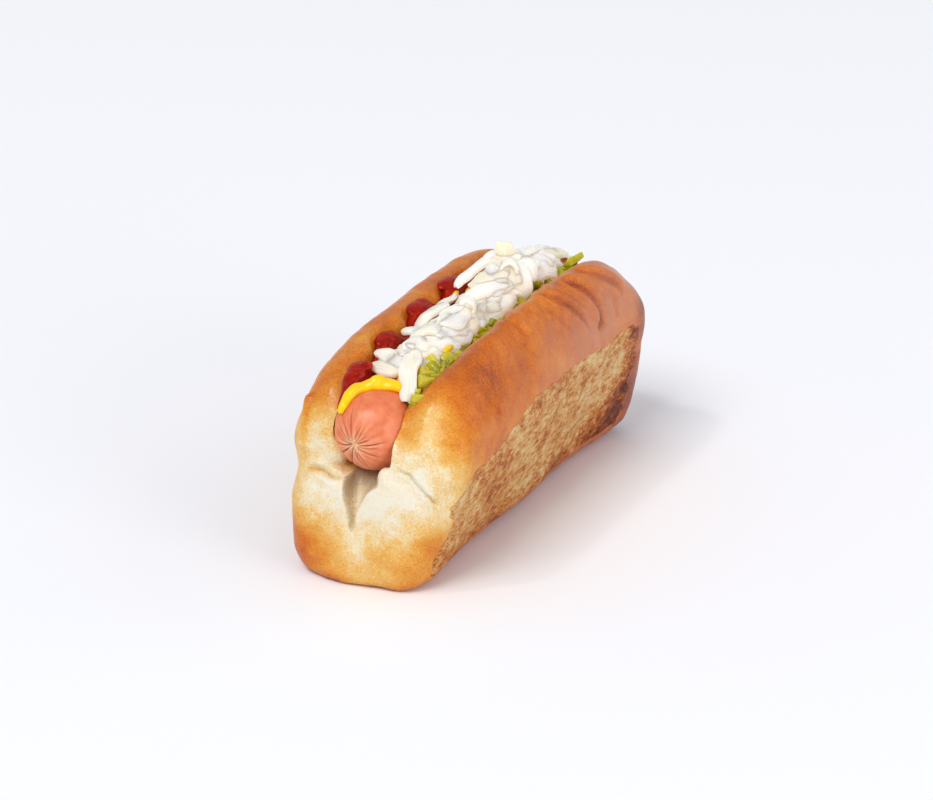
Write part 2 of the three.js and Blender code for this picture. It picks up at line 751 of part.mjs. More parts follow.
const group = new THREE.Group();
group.add(
  toMesh('bun', bun[0]),
  toMesh('sausage', sausage[0]),
  toMesh('mustard', toGeometry(largestBody(fused(mustard).subtract(rolled)))),
  toMesh('ketchup', toGeometry(largestBody(fused(ketchup).subtract(sauced)))),
  toMesh('relish', toGeometry(largestBody(dicedRelish.subtract(sauced)))),
  toMesh(
    'onions',
    toGeometry(largestBody(fused(onions).subtract(sauced.add(grown(ketchup, relishBed))))),
  ),
);

export default group;
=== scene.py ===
# %% [markdown]
# # A hot dog in a split-top roll
#
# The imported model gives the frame: six plain solids at their real size. This
# lesson dresses them, one food at a time. Food looks real through small
# things, such as a crust that is paler where it was shaded in the oven, sauce
# that is thick enough to hold a highlight, and onion that lets light through.
# So each food gets its own shape and its own finish, and the solids underneath
# say where everything goes.

# %% Load the frame
import math
import random

import bpy
import numpy as np
from mathutils import Matrix, Vector, noise


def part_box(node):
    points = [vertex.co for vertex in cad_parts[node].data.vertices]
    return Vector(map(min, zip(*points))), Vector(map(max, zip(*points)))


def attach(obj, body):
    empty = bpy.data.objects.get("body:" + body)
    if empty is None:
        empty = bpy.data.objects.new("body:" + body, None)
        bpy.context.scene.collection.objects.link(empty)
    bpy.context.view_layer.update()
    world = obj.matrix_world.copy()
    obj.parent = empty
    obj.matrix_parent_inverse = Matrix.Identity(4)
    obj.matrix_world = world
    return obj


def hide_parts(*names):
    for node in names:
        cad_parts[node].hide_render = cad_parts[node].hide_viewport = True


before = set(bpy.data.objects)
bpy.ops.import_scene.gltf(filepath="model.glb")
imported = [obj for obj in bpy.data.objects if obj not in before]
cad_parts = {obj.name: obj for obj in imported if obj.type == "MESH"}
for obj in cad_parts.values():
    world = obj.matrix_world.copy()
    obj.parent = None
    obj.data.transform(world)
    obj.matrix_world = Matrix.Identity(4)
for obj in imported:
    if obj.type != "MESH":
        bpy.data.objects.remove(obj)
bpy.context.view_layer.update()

print("frame:", sorted(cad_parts))

# %% [markdown]
# ## Units and small tools
#
# Blender works in metres and a cook thinks in millimetres, so sizes are
# written in millimetres and turned to metres in one place. An operator acts on
# everything that is selected, so each step first says which piece it works on.

# %% Units and selection
MM = 0.001


def metres(*millimetres):
    return Vector(millimetres) * MM


def choose(*pieces):
    """Selects only these pieces; the first one becomes the active one."""
    bpy.ops.object.select_all(action="DESELECT")
    for piece in pieces:
        piece.select_set(True)
    bpy.context.view_layer.objects.active = pieces[0]


def finish_with(piece, kind, **settings):
    """Adds a modifier with these settings and applies it."""
    choose(piece)
    modifier = piece.modifiers.new(kind.title(), kind)
    for name, value in settings.items():
        setattr(modifier, name, value)
    bpy.ops.object.modifier_apply(modifier=modifier.name)


def blob(place, size):
    """A ball flattened to size (x, y, z), in millimetres."""
    bpy.ops.mesh.primitive_uv_sphere_add(segments=24, ring_count=12, radius=MM, location=metres(*place))
    ball = bpy.context.object
    ball.scale = size
    bpy.ops.object.transform_apply(location=True, rotation=True, scale=True)
    return ball


def triangles(piece):
    return sum(len(face.vertices) - 2 for face in piece.data.polygons)


choose(*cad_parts.values())
bpy.ops.object.select_all(action="DESELECT")
print("nothing is selected:", not bpy.context.selected_objects)

# %% [markdown]
# ## Points as arrays
#
# Some forms are sculpted: a fold in a crust is pushed in by hand, point by
# point. In a script that is done with arrays. One function reads a mesh's
# points in millimetres, one its normals, and one puts the moved points back.

# %% Read and move the points of a mesh
def points_of(piece):
    flat = np.empty(len(piece.data.vertices) * 3)
    piece.data.vertices.foreach_get("co", flat)
    return flat.reshape(-1, 3) / MM


def normals_of(piece):
    flat = np.empty(len(piece.data.vertices) * 3, dtype=np.float32)
    piece.data.vertex_normals.foreach_get("vector", flat)
    return flat.reshape(-1, 3).astype(float)


def move_points(piece, points):
    piece.data.vertices.foreach_set("co", (points * MM).ravel())
    piece.data.update()


def smooth_step(low, high, value):
    """0 below low, 1 above high, and a soft S between them."""
    share = np.clip((value - low) / (high - low), 0, 1)
    return share * share * (3 - 2 * share)


def hill(distance, width):
    """A bell: 1 where the distance is 0, and almost nothing past two widths."""
    return np.exp(-((distance / width) ** 2))


def lumps(points, size, seed=0):
    """Smooth random values, about -0.5 to 0.5, with lumps of this size in millimetres."""
    shift = Vector((seed * 7.1, seed * 3.7, seed * 5.3))
    return np.array([noise.noise(Vector(p) / size + shift) for p in points])


def wobble(points, size, rng):
    """Smooth random shifts of the points, with lumps of this size in millimetres."""
    return np.stack([lumps(points, size, rng.uniform(0, 90)) for _ in range(3)], axis=1)


def paint(piece, name, values):
    """Keeps a number for each point, which a material can read by this name."""
    layer = piece.data.attributes.new(name, "FLOAT", "POINT")
    layer.data.foreach_set("value", np.full(len(layer.data), values, np.float32))


print("the hill at one width:", round(float(hill(1, 1)), 3))

# %% [markdown]
# ## The camera
#
# The camera comes first, because some marks on the food are placed by where
# the camera sees them. It stands far off with a long lens, as in product work,
# so the roll's far end looks almost as large as its near end. The camera's
# view is 933 pixels wide.

# %% Place the camera
AZIMUTH = math.radians(26.94)
ELEVATION = math.radians(24.34)
DISTANCE = 1654.4
MIDDLE_OF_FOOD = metres(0, 0, 31.02)
# The camera aims a little above and to the left of the food's middle.
AIM_UP, AIM_LEFT = 3.743, 0.946
PICTURE_WIDTH, PICTURE_HEIGHT = 933, 800
SENSOR_WIDTH = 36
LENS = 196.3

towards_camera = Vector(
    (
        math.sin(AZIMUTH) * math.cos(ELEVATION),
        -math.cos(AZIMUTH) * math.cos(ELEVATION),
        math.sin(ELEVATION),
    )
)
picture_right = Vector((math.cos(AZIMUTH), math.sin(AZIMUTH), 0))
picture_up = towards_camera.cross(picture_right)
aim = MIDDLE_OF_FOOD + (picture_up * AIM_UP - picture_right * AIM_LEFT) * MM
bpy.ops.object.camera_add(location=aim + towards_camera * DISTANCE * MM)
camera = bpy.context.object
camera.name = "camera"
camera.rotation_mode = "QUATERNION"
camera.rotation_quaternion = (-towards_camera).to_track_quat("-Z", "Y")
camera.data.lens = LENS
camera.data.sensor_width = SENSOR_WIDTH
camera.data.clip_end = 20
bpy.context.scene.camera = camera
print("camera at", [round(c, 3) for c in camera.location])

# %% [markdown]
# ## Where a pixel lies on the food
#
# A line from the camera through a pixel meets the crust at one point. With
# that, a fold can be drawn as it is seen, and still lies on the crust from
# every side.

# %% From a pixel to a point on a piece
FOCAL_PIXELS = LENS / SENSOR_WIDTH * PICTURE_WIDTH


def ray_through(pixel):
    across = (pixel[0] - PICTURE_WIDTH / 2) / FOCAL_PIXELS
    down = (pixel[1] - PICTURE_HEIGHT / 2) / FOCAL_PIXELS
    return (picture_right * across - picture_up * down - towards_camera).normalized()


def on_surface(piece, pixel):
    hit, place, normal, face = piece.ray_cast(camera.location, ray_through(pixel))
    return place / MM if hit else None


def drawn_line(piece, pixels):
    """The pixels' places on the piece, as an array of points in millimetres."""
    places = [on_surface(piece, pixel) for pixel in pixels]
    return np.array([place for place in places if place is not None])


def line_distance(points, line):
    """Distance of each point to a line of straight stretches, and its share along the line."""
    best = np.full(len(points), 1e9)
    share = np.zeros(len(points))
    lengths = np.linalg.norm(np.diff(line, axis=0), axis=1)
    before = np.concatenate([[0], np.cumsum(lengths)])
    for start, end, length, done in zip(line, line[1:], lengths, before):
        along = np.clip((points - start) @ (end - start) / length**2, 0, 1)
        distance = np.linalg.norm(points - (start + along[:, None] * (end - start)), axis=1)
        closer = distance < best
        best[closer] = distance[closer]
        share[closer] = (done + along[closer] * length) / before[-1]
    return best, share


def fading(share, over):
    """1 along a line, with a soft fall to 0 over this share of it at both ends."""
    return smooth_step(0, over, share) * smooth_step(0, over, 1 - share)


print("one pixel at the food is", round(DISTANCE / FOCAL_PIXELS, 3), "mm")

# %% [markdown]
# ## Colours and nodes
#
# Colours are written as the hex values that a painter would pick on a screen,
# and one function turns them to the linear values that light needs. One more
# function adds a node, with its settings, its colour stops and what is plugged
# into it, and gives back the output that the next node needs, so that a
# material reads like a recipe. Many recipes add patterns up, each times a
# weight, and one function builds such a sum.

# %% Colours and scales
def colour(code):
    channels = [int(code[i : i + 2], 16) / 255 for i in (1, 3, 5)]
    linear = [c / 12.92 if c <= 0.04045 else ((c + 0.055) / 1.055) ** 2.4 for c in channels]
    return (*linear, 1)


def per_mm(size):
    """Scale of a pattern whose features are this many millimetres across."""
    return 1 / (size * MM)


def new_material(name):
    material = bpy.data.materials.new(name)
    material.use_nodes = True
    return material


print("a mid grey is", [round(c, 3) for c in colour("#808080")])

# %% Add nodes and plug them in
# Places of the mix node's sockets: first, second and result, for each kind of data.
MIX_SOCKETS = {"RGBA": (6, 7, 2), "FLOAT": (2, 3, 0)}
MIX_A, MIX_B, MIX_COLOUR = MIX_SOCKETS["RGBA"]


def plug_in(material, node, plugs):
    """Gives each named socket of the node a value, or links it to an output."""
    for socket, value in plugs.items():
        if isinstance(value, bpy.types.NodeSocket):
            material.node_tree.links.new(value, node.inputs[socket])
        else:
            node.inputs[socket].default_value = value


def add(material, kind, plugs, out=0, stops=(), **settings):
    """Adds a shader node and gives back one of its outputs."""
    node = material.node_tree.nodes.new("ShaderNode" + kind)
    for name, value in settings.items():
        setattr(node, name, value)
    plug_in(material, node, plugs)
    # A new ramp has two stops.
    for _ in stops[2:]:
        node.color_ramp.elements.new(0.5)
    if stops:
        for element, (place, code) in zip(node.color_ramp.elements, stops):
            element.position = place
            element.color = colour(code)
    return node.outputs[out]


def total(material, start, *terms):
    """A number plus outputs, each times its weight; a weight may be an output too."""
    for value, weight in terms:
        start = add(material, "Math", {0: value, 1: weight, 2: start}, operation="MULTIPLY_ADD")
    return start


def dress(piece, material):
    """Gives the piece this material, and no other."""
    piece.data.materials.clear()
    piece.data.materials.append(material)


def surface(material, plugs):
    """Plugs the material's own shader in: constants stay on its sockets."""
    plug_in(material, material.node_tree.nodes["Principled BSDF"], plugs)


def soft_surface(material, plugs, weight, radius):
    """A surface with light scattered under it, over a radius in mm for red, green and blue."""
    surface(material, plugs)
    reach = [distance * MM for distance in radius]
    surface(material, {"Subsurface Weight": weight, "Subsurface Scale": 1, "Subsurface Radius": reach})


print("a colour mix takes its two colours at sockets", MIX_A, "and", MIX_B)

# %% [markdown]
# ## The roll
#
# The roll is one loaf-shaped piece of soft bread, slit from the top. Its solid
# already has the true form in coarse facets. It could be modelled again from a
# box, but then two shapes would have to agree. So a copy of the solid is
# taken: its loose triangles are merged, paired to four-sided faces, and rounded
# by subdivision, with the lips of the slit creased so that they stay crisp.
# Soft crumb swells up to the frankfurter's near end on both sides of the slit,
# as two rounded lumps. A fine even net of points (a voxel remesh) then melts all
# of it to one skin and makes it ready for sculpting.

# %% Copy and round the roll
NET_SPACING = 0.74
# Edges that turn more than this, in degrees, stay crisp by this much.
CRISP_TURN, CRISPNESS = 58, 0.8
# Lumps of crumb beside the slit, as place and size.
CRUMB_LUMPS = [((-13, -66.4, 42), (4.2, 5, 5.2)), ((7.9, -72.8, 38.4), (3, 3.2, 4.6))]
CRUMB_LUMPS += [((-13, 66.4, 42), (4.2, 5, 5.2))]

choose(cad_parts["bun"])
bpy.ops.object.duplicate()
roll = bpy.context.object
roll.name = "split_top_roll"
roll.parent = None
bpy.ops.object.mode_set(mode="EDIT")
bpy.ops.mesh.select_all(action="SELECT")
bpy.ops.mesh.remove_doubles(threshold=0.01 * MM)
bpy.ops.mesh.tris_convert_to_quads(face_threshold=math.pi, shape_threshold=math.pi)
bpy.ops.mesh.select_all(action="DESELECT")
bpy.ops.mesh.select_mode(type="EDGE")
bpy.ops.mesh.edges_select_sharp(sharpness=math.radians(CRISP_TURN))
bpy.ops.transform.edge_crease(value=CRISPNESS)
bpy.ops.object.mode_set(mode="OBJECT")
finish_with(roll, "SUBSURF", levels=2, render_levels=2)
choose(roll, *[blob(*lump) for lump in CRUMB_LUMPS])
bpy.ops.object.join()
finish_with(roll, "REMESH", mode="VOXEL", voxel_size=NET_SPACING * MM)
finish_with(roll, "SMOOTH", factor=0.5, iterations=3)
print("roll:", triangles(roll), "triangles")

# %% [markdown]
# ## Where the slit runs
#
# The slit is known as an outline, seen from the near end. Both the folds, which
# stay on the crust, and the finishes below ask how far a point is from it.

# %% Distance to the slit
# The slit, seen from the near end, as (x, z).
SLIT = [(-15.2, 90), (-15.2, 64.5), (-13.8, 54), (-14.6, 50), (-13, 43.6), (-6.2, 37.8), (-6, 20)]
SLIT += [(-4, 16.5), (-3.2, 20), (9.9, 43.6), (11.6, 50), (10.5, 55), (12.4, 64.5), (12.4, 90)]
# The lobes rise above the waist, and fall off over a run at both ends of the roll.
WAIST, LOBE_HEIGHT, HALF_LENGTH = 35, 38, 76
LOBE_ENDS = {"near": {"run": 52, "fall": 30}, "far": {"run": 44, "fall": 27}}
END_ROUNDNESS = 1.8
LOWEST_SHARE = 0.2


def curve_value(pairs, at):
    return np.interp(at, [a for a, _ in pairs], [b for _, b in pairs])


def slit_depth(x, z):
    """Distance to the slit's outline: below 0 inside it."""
    outline = np.array(SLIT)
    flat = np.stack([x, z, np.zeros_like(x)], axis=1)
    distance, _ = line_distance(flat, np.column_stack([outline, np.zeros(len(outline))]))
    inside = np.zeros(len(x), bool)
    for (x0, z0), (x1, z1) in zip(SLIT, SLIT[1:] + SLIT[:1]):
        if z0 != z1:
            crosses = (z0 > z) != (z1 > z)
            inside ^= crosses & (x < x0 + (z - z0) * (x1 - x0) / (z1 - z0))
    return np.where(inside, -distance, distance)


def end_fall(from_end, run, fall):
    """How far the lobes have fallen at this distance from an end."""
    share = np.clip(from_end / run, 0, 1)
    return fall * (1 - (1 - (1 - share) ** END_ROUNDNESS) ** (1 / END_ROUNDNESS))


def raised_height(y, z):
    """Height with the sunken ends of the lobes raised to their full height."""
    fallen = end_fall(y + HALF_LENGTH, **LOBE_ENDS["near"]) + end_fall(HALF_LENGTH - y, **LOBE_ENDS["far"])
    share = np.maximum(1 - fallen / LOBE_HEIGHT, LOWEST_SHARE)
    return np.where(z > WAIST, WAIST + (z - WAIST) / share, z)


def from_slit(points):
    x, y, z = points.T
    return slit_depth(x, raised_height(y, z))


print("half the slit's mouth:", round(float(-slit_depth(np.array([-1.5]), np.array([60.0]))[0]), 1), "mm")

# %% [markdown]
# ## Folds in the crust
#
# As a soft roll cools, its crust is larger than the crumb under it, and it
# buckles: long folds cross the right lobe, and each end has a crease where the
# lobes meet the belly. Each fold is drawn as it is seen, laid on the crust, and
# pushed in along the normals, with a low swelling on both sides of it. No loaf
# is as even as its solid, so the right flank first swells out a little, and a
# few soft pulls move an edge, a corner and the near foot.

# %% Where the crust folds and swells
# Each fold: its pixels, how deep and how wide it is, and how far its sides swell.
FOLDS = [
    ([(497, 320), (506, 321), (517, 326), (526, 334), (533, 343), (537, 352)], 1.3, 1.0, 0.7),
    ([(534, 294), (544, 295), (556, 299), (570, 307), (582, 317), (589, 327), (591, 338)], 1.8, 1.0, 0.9),
    ([(558, 279), (570, 283), (582, 288), (592, 296), (599, 308), (601, 320), (598, 332)], 2.2, 1.1, 1.0),
    ([(572, 271), (580, 271), (594, 274), (606, 278), (618, 285), (626, 296)], 1.6, 1.1, 0.7),
    ([(314, 390), (309, 404), (306, 420), (304, 436), (303, 452)], -1.8, 1.8, 0),
    ([(545, 309), (556, 314), (565, 322), (571, 332)], 0.5, 0.8, 0.3),
    ([(515, 309), (530, 311), (544, 318), (553, 328)], 0.4, 0.8, 0.3),
    ([(560, 292), (572, 297), (581, 305), (586, 314)], 0.4, 0.8, 0.3),
    ([(608, 287), (614, 296), (617, 308), (616, 320)], 0.4, 0.9, 0.3),
    ([(520, 342), (531, 349), (540, 358)], 0.4, 0.9, 0.2),
    ([(489, 399), (494, 404), (498, 409), (500, 416)], 0.7, 0.45, 0.2),
    ([(297, 471), (306, 469), (313, 468), (322, 470), (330, 475), (341, 478)], 2.2, 0.9, 0.8),
    ([(390, 471), (400, 472), (410, 476), (414, 483), (424, 493), (434, 503), (441, 506)], 1.0, 0.5, 0.5),
    ([(425, 452), (431, 458), (435, 466)], 0.4, 0.9, 0.3),
    ([(322, 408), (318, 418), (316, 430), (317, 441)], 0.35, 0.9, 0.2),
    ([(330, 395), (327, 410), (327, 424)], 0.3, 0.7, 0.2),
]
# The left lip's edge, as (x, z), and where it swells in over the ketchup, as y, and how far.
LIP_EDGE = (-16, 66)
LIP_SWELLS = [(-41.5, 2.6), (-19, 2.8), (5, 2.6), (30, 1.6)]
# How far the right flank bulges, as (y, millimetres).
FLANK_BULGE = [(-76, 0.4), (-66, 2.2), (-40, 2.8), (-10, 2.2), (20, 1.2), (48, 0.4), (62, 1.2), (76, 2.6)]
# Soft pulls on the loaf: the place, how far the pull reaches, and where it goes.
PULLS = [((-29.5, -65, 43), 7, (-2.2, -0.4, 0)), ((-24, -72, 0), 9, (-1.4, -1.2, 0))]
PULLS += [((-8, -74, 1), 12, (0, -2.6, 0))]
print("folds:", len(FOLDS))

# %% [markdown]
# A fold is deepest in its middle and fades out at both ends. The crust around
# the slit's mouth moves, but the walls inside it stay where they are.

# %% Press the folds in
# A fold fades out over this share of its length, and its sides swell this many widths away.
FOLD_FADE, SIDES_AT, SIDES_WIDTH = 0.16, 2.6, 1.5
# How far a swelling of the lip reaches around its edge, and along it.
LIP_ROUND, LIP_ALONG = 4.5, 3.6


def press_fold(points, normals, line, depth, width, swell):
    """Points moved in along a fold that fades out at both of its ends."""
    distance, share = line_distance(points, line)
    sides = hill(distance - SIDES_AT * width, SIDES_WIDTH * width)
    push = (swell * sides - depth * hill(distance, width)) * fading(share, FOLD_FADE)
    return points + normals * push[:, None]


def lip_swells(points):
    """How far each point moves to the middle where the left lip swells in."""
    x, y, z = points.T
    at_lip = hill(np.hypot(x - LIP_EDGE[0], z - LIP_EDGE[1]), LIP_ROUND)
    return sum(reach * hill(y - at, LIP_ALONG) for at, reach in LIP_SWELLS) * at_lip


def fill_out():
    """The loaf as it rose: a fuller right flank and a few soft pulls."""
    points = points_of(roll)
    x, y, z = points.T
    filled = points.copy()
    filled[:, 0] += curve_value(FLANK_BULGE, y) * smooth_step(8, 22, x) * smooth_step(66, 50, z)
    for place, reach, shift in PULLS:
        near = hill(np.linalg.norm(points - np.array(place), axis=1), reach)
        filled += near[:, None] * np.array(shift)
    return filled


def shape_roll():
    points = points_of(roll)
    normals = normals_of(roll)
    folded = points
    for pixels, depth, width, swell in FOLDS:
        folded = press_fold(folded, normals, drawn_line(roll, pixels), depth, width, swell)
    on_crust = smooth_step(0.3, 1.6, from_slit(points))[:, None]
    puffs = 0.5 * lumps(points, 14, 21) + 0.25 * lumps(points, 5, 22)
    shaped = points + (folded - points + normals * puffs[:, None]) * on_crust
    shaped[:, 0] += lip_swells(points)
    shaped[:, 2] = np.maximum(shaped[:, 2], 0)
    return shaped


move_points(roll, fill_out())
move_points(roll, shape_roll())
print("the roll is now", [round(side / MM, 1) for side in roll.dimensions], "mm")

# %% [markdown]
# ## Where the roll is cut, griddled and browned
#
# Three finishes meet on one loaf. The crust is the glossy outside. The two
# long sides were pulled off the neighbouring rolls and griddled, so they show
# toasted crumb. The slit shows soft crumb. Six numbers for each point say how
# much crumb shows and how much painted shade lies on it under the
# frankfurter, how far the point was griddled, how dark its crust was baked and
# how dark its toast, and where a pale sheen is painted on the crust. They are
# worked out from where the point lies on the roll. The crumb comes first: it
# lies inside the slit's outline, and its walls face in.

# %% Where the crumb shows
# The slit's walls lean in up to this far from its outline, below this height.
WALL_LEAN, WALL_TOP = 3.8, 61
# Crumb shows up to these heights: in the near half, in the far half, and on the
# left wall, which starts at this x. Above them the walls are browned like the crust.
NEAR_CRUMB_TOP, FAR_CRUMB_TOP, LEFT_CRUMB_TOP = 40, 35, 36
LEFT_WALL = -6.5


def crumb_share(points, normals, rough_edge):
    x, y, z = points.T
    faces_in = smooth_step(0.35, 0.6, -np.sign(x + 2) * normals[:, 0])
    reach = 0.2 + WALL_LEAN * faces_in * (raised_height(y, z) < WALL_TOP)
    crumb = 1 - smooth_step(0, 0.8, from_slit(points) - reach + 0.5 * rough_edge)
    crumb *= 1 - smooth_step(0.75, 0.95, np.abs(normals[:, 1]))
    top = np.where(y < 0, NEAR_CRUMB_TOP, FAR_CRUMB_TOP)
    crumb *= smooth_step(1.5, -1.5, z - top + 0.6 * rough_edge)
    left = smooth_step(LEFT_WALL, LEFT_WALL - 1.5, x)
    return crumb * (1 - left * smooth_step(LEFT_CRUMB_TOP, LEFT_CRUMB_TOP + 1.5, z))


print("crumb shows up to", NEAR_CRUMB_TOP, "mm at the near end")

# %% [markdown]
# The griddle touched a long patch on each side. Four edges bound it, and each
# is a little ragged. Where it was hottest, low down and towards the far end,
# the toast is charred.

# %% Where the sides were griddled
# Upper edge of the griddled side, as (y, z), from the near end to the far end.
GRIDDLE_EDGE = [(-76, 33), (-64, 38), (-55, 41), (-41, 43), (-30, 46), (-19, 49), (-5, 49), (8, 48.6)]
GRIDDLE_EDGE += [(24, 47), (39, 46), (56, 45.5), (75, 40)]
# Near edge of the griddled side, as (z, y).
GRIDDLE_NEAR = [(0, -70.8), (5, -67.4), (13, -67.6), (22, -64.5), (31, -66), (38, -62)]
GRIDDLE_FAR, GRIDDLE_FOOT = 65, 4.5


def griddled_share(points, normals, rough_edge):
    _, y, z = points.T
    below = curve_value(GRIDDLE_EDGE, y) - z + 1.4 * rough_edge
    behind = y - curve_value(GRIDDLE_NEAR, z) + 2.4 * rough_edge
    before = GRIDDLE_FAR - 0.06 * np.abs(z - 24) - y + 3.4 * rough_edge
    above = z - GRIDDLE_FOOT - 1.5 * smooth_step(-50, -35, y) + 1.2 * rough_edge
    flank = smooth_step(0.45, 0.75, np.abs(normals[:, 0]))
    edges = [smooth_step(-1.4, 1.6, distance) for distance in (below, behind, before, above)]
    return flank * np.prod(edges, axis=0)


def char_share(points):
    """How much darker the toast is: the far bottom corner lay on the hottest spot."""
    x, y, z = points.T
    char = smooth_step(30, 66, y) * smooth_step(34, 4, z) * smooth_step(-40, 20, x)
    char += 1.1 * smooth_step(52, 66, y) * smooth_step(-20, 20, x)
    char += 0.15 * smooth_step(-20, -50, y)
    char += 0.3 * smooth_step(14, 5, z) * smooth_step(-62, -50, y)
    char += 0.5 * lumps(points, 22, 7) - 0.15
    return np.clip(char, -0.3, 1)


print("the griddled side is", GRIDDLE_FAR - GRIDDLE_NEAR[0][1], "mm long")

# %% [markdown]
# The crust's tone is painted: a base tone for the lobes and one for
# each end, with soft borders, then touches of a round brush, then large and
# small blotches. Along the folds the crust is darkened a little, as painted shade in the creases.

# %% Tones of the crust
# From 0, unbaked white, to 1, nearly burnt.
LOBE_TONE, LEFT_LOBE_PALER, FAR_END_DARKER = 0.68, 0.13, 0.34
# How brown the near end is at each height, as (z, tone).
FRONT_TONE = [(0, 0.66), (2, 0.48), (5, 0.34), (10, 0.36), (15, 0.36), (20, 0.24), (26, 0.06)]
FRONT_TONE += [(32, 0), (38, 0), (43, 0.06), (48, 0.2), (54, 0.38), (60, 0.54), (68, 0.66)]
# Touches of the brush: the place as seen, its size in millimetres, and the change of tone.
TOUCHES = [
    ((316, 512), 6, 0.1), ((306, 555), 9, 0.22), ((300, 516), 8, -0.06),
    ((360, 572), 9, -0.06), ((405, 572), 9, 0.1), ((435, 545), 5, 0.16),
    ((395, 545), 6, -0.08), ((352, 548), 5, -0.12), ((318, 455), 6, 0.08),
    ((330, 436), 6, 0.06), ((300, 492), 7, -0.05), ((372, 515), 7, -0.06),
    ((308, 428), 9, -0.16), ((324, 414), 7, -0.12), ((425, 490), 5, -0.04),
    ((414, 436), 4, 0.14), ((432, 436), 8, -0.1), ((437, 510), 6, 0.12),
    ((420, 536), 7, 0.16), ((438, 492), 4, 0.1), ((433, 470), 4, 0.06),
    ((460, 440), 7, 0.12), ((438, 412), 5, -0.12), ((478, 372), 14, 0.09),
    ((570, 297), 7, 0.1), ((530, 340), 8, 0.06), ((348, 350), 8, 0.05),
    ((384, 320), 8, 0.08), ((430, 284), 8, 0.12), ((468, 415), 9, 0.06),
]
print("touches of the brush:", len(TOUCHES))

# %% How dark the crust was baked
def base_tone(points):
    """The lobes' tone, paler at the near end, darker at the far end and along the foot."""
    x, y, z = points.T
    ragged = 3 * lumps(points, 9, 5) + 1.6 * lumps(points, 3, 6)
    front = smooth_step(-48, -75, y + ragged)
    front_tone = curve_value(FRONT_TONE, z + 0.8 * ragged)
    left_edge = smooth_step(-14, -29, x) * 0.3
    lobe = LOBE_TONE + 0.04 * smooth_step(50, 70, z) - LEFT_LOBE_PALER * smooth_step(2, -20, x)
    tone = lobe * (1 - front) + (front_tone + left_edge) * front
    back = smooth_step(60, 74, y)
    tone = tone * (1 - back) + (front_tone + FAR_END_DARKER) * back
    tone += 0.14 * smooth_step(8, 3, z) * smooth_step(-55, -40, y)
    return tone + 0.4 * smooth_step(58, 68, y) * smooth_step(60, 46, z) * smooth_step(16, 28, x)


def touches(points):
    change = np.zeros(len(points))
    for pixel, size, amount in TOUCHES:
        change += amount * hill(np.linalg.norm(points - np.array(on_surface(roll, pixel)), axis=1), size)
    return change


# painted shade: a darker tone along the crease of each fold
def fold_lines(points):
    dark = np.zeros(len(points))
    for pixels, depth, width, _ in FOLDS:
        distance, share = line_distance(points, drawn_line(roll, pixels))
        dark += 0.1 * abs(depth) * hill(distance, 0.6 * width) * fading(share, 0.1)
    return dark


def crust_tone(points):
    blotches = 0.14 * lumps(points, 16, 3) + 0.08 * lumps(points, 4, 4)
    return np.clip(base_tone(points) + touches(points) + blotches + fold_lines(points), 0, 1)


print("the lobes' tone:", LOBE_TONE)

# %% [markdown]
# With all of that, the six numbers are painted on the roll.

# %% Paint the roll
def roll_paints():
    points, normals = points_of(roll), normals_of(roll)
    x, y, z = points.T
    rough_edge = lumps(points, 6, 1) + 0.6 * lumps(points, 2, 2)
    crumb = crumb_share(points, normals, rough_edge)
    far_shoulder = smooth_step(12, 24, x) * smooth_step(-30, 40, y) * smooth_step(80, 62, y)
    return {
        # painted sheen: a pale pink reflection painted high on the far right shoulder
        "bloom": 0.42 * hill(z - 56, 12) * far_shoulder,
        "crumb": crumb,
        # painted shade on the crumb high in the slit, under the frankfurter
        "deep": 0.5 * smooth_step(26, 36, z),
        "griddled": griddled_share(points, normals, rough_edge) * (1 - crumb),
        "tone": crust_tone(points),
        "char": char_share(points),
    }


ROLL_PAINTS = roll_paints()
for name, values in ROLL_PAINTS.items():
    paint(roll, name, values)
    print(name, "covers a share of", round(float(values.mean()), 2))

# %% [markdown]
# ## Bread
#
# The crust of a soft white roll is browned sugar and protein under an egg or
# milk wash: a warm orange-brown, glossy, with fine leathery wrinkles about a
# millimetre apart. Griddled crumb is matt and fibrous, with buttery streaks
# along the roll. Open crumb is pale and full of pores. One shader mixes all
# three by the numbers painted on the roll, so they melt into each other. It
# starts with the cloudy patterns that the three share. Wrinkles run around the
# loaf, and fibres run along it and up a little to the far end.

# %% Patterns of the bread
# Cloudy patterns: millimetres across, detail, and roughness.
BREAD_CLOUDS = {
    "edge": (3.2, 3, 0.5),
    "fray": (1.1, 5, 0.7),
    "speckle": (0.7, 6, 0.75),
    "blotch": (6, 5, 0.65),
    "patch": (5, 5, 0.7),
    "grit": (0.5, 4, 0.8),
    "pores": (1, 6, 0.75),
    "wrinkle": (1.5, 5, 0.6),
    "streak": (1.1, 7, 0.74),
}
# Patterns that are drawn out: the turn, the scale along each axis, and the distortion.
DRAWN_OUT = {
    "wrinkle": ((0, 0, 0), (0.3, 1, 0.3), 0.5),
    "streak": ((math.radians(-24), 0, 0), (1, 0.36, 1), 0.6),
}


def bread_patterns(bread):
    """All the painted numbers and patterns of the bread, by name."""
    found = {name: add(bread, "Attribute", {}, out="Fac", attribute_name=name) for name in ROLL_PAINTS}
    place = add(bread, "TexCoord", {}, out="Object")
    for name, (size, detail, roughness) in BREAD_CLOUDS.items():
        plugs = {"Vector": place, "Scale": per_mm(size), "Detail": detail, "Roughness": roughness}
        if name in DRAWN_OUT:
            turn, scale, plugs["Distortion"] = DRAWN_OUT[name]
            plugs["Vector"] = add(bread, "Mapping", {"Vector": place, "Rotation": turn, "Scale": scale})
        found[name] = add(bread, "TexNoise", plugs)
    return found


print("patterns of the bread:", len(BREAD_CLOUDS))

# %% [markdown]
# Each of the three finishes gives a colour and a relief, and the crust a gloss
# as well. The reliefs all lie around zero, so that no step shows where they
# meet. The toast frays into the crust along a seam, which is a little darker.

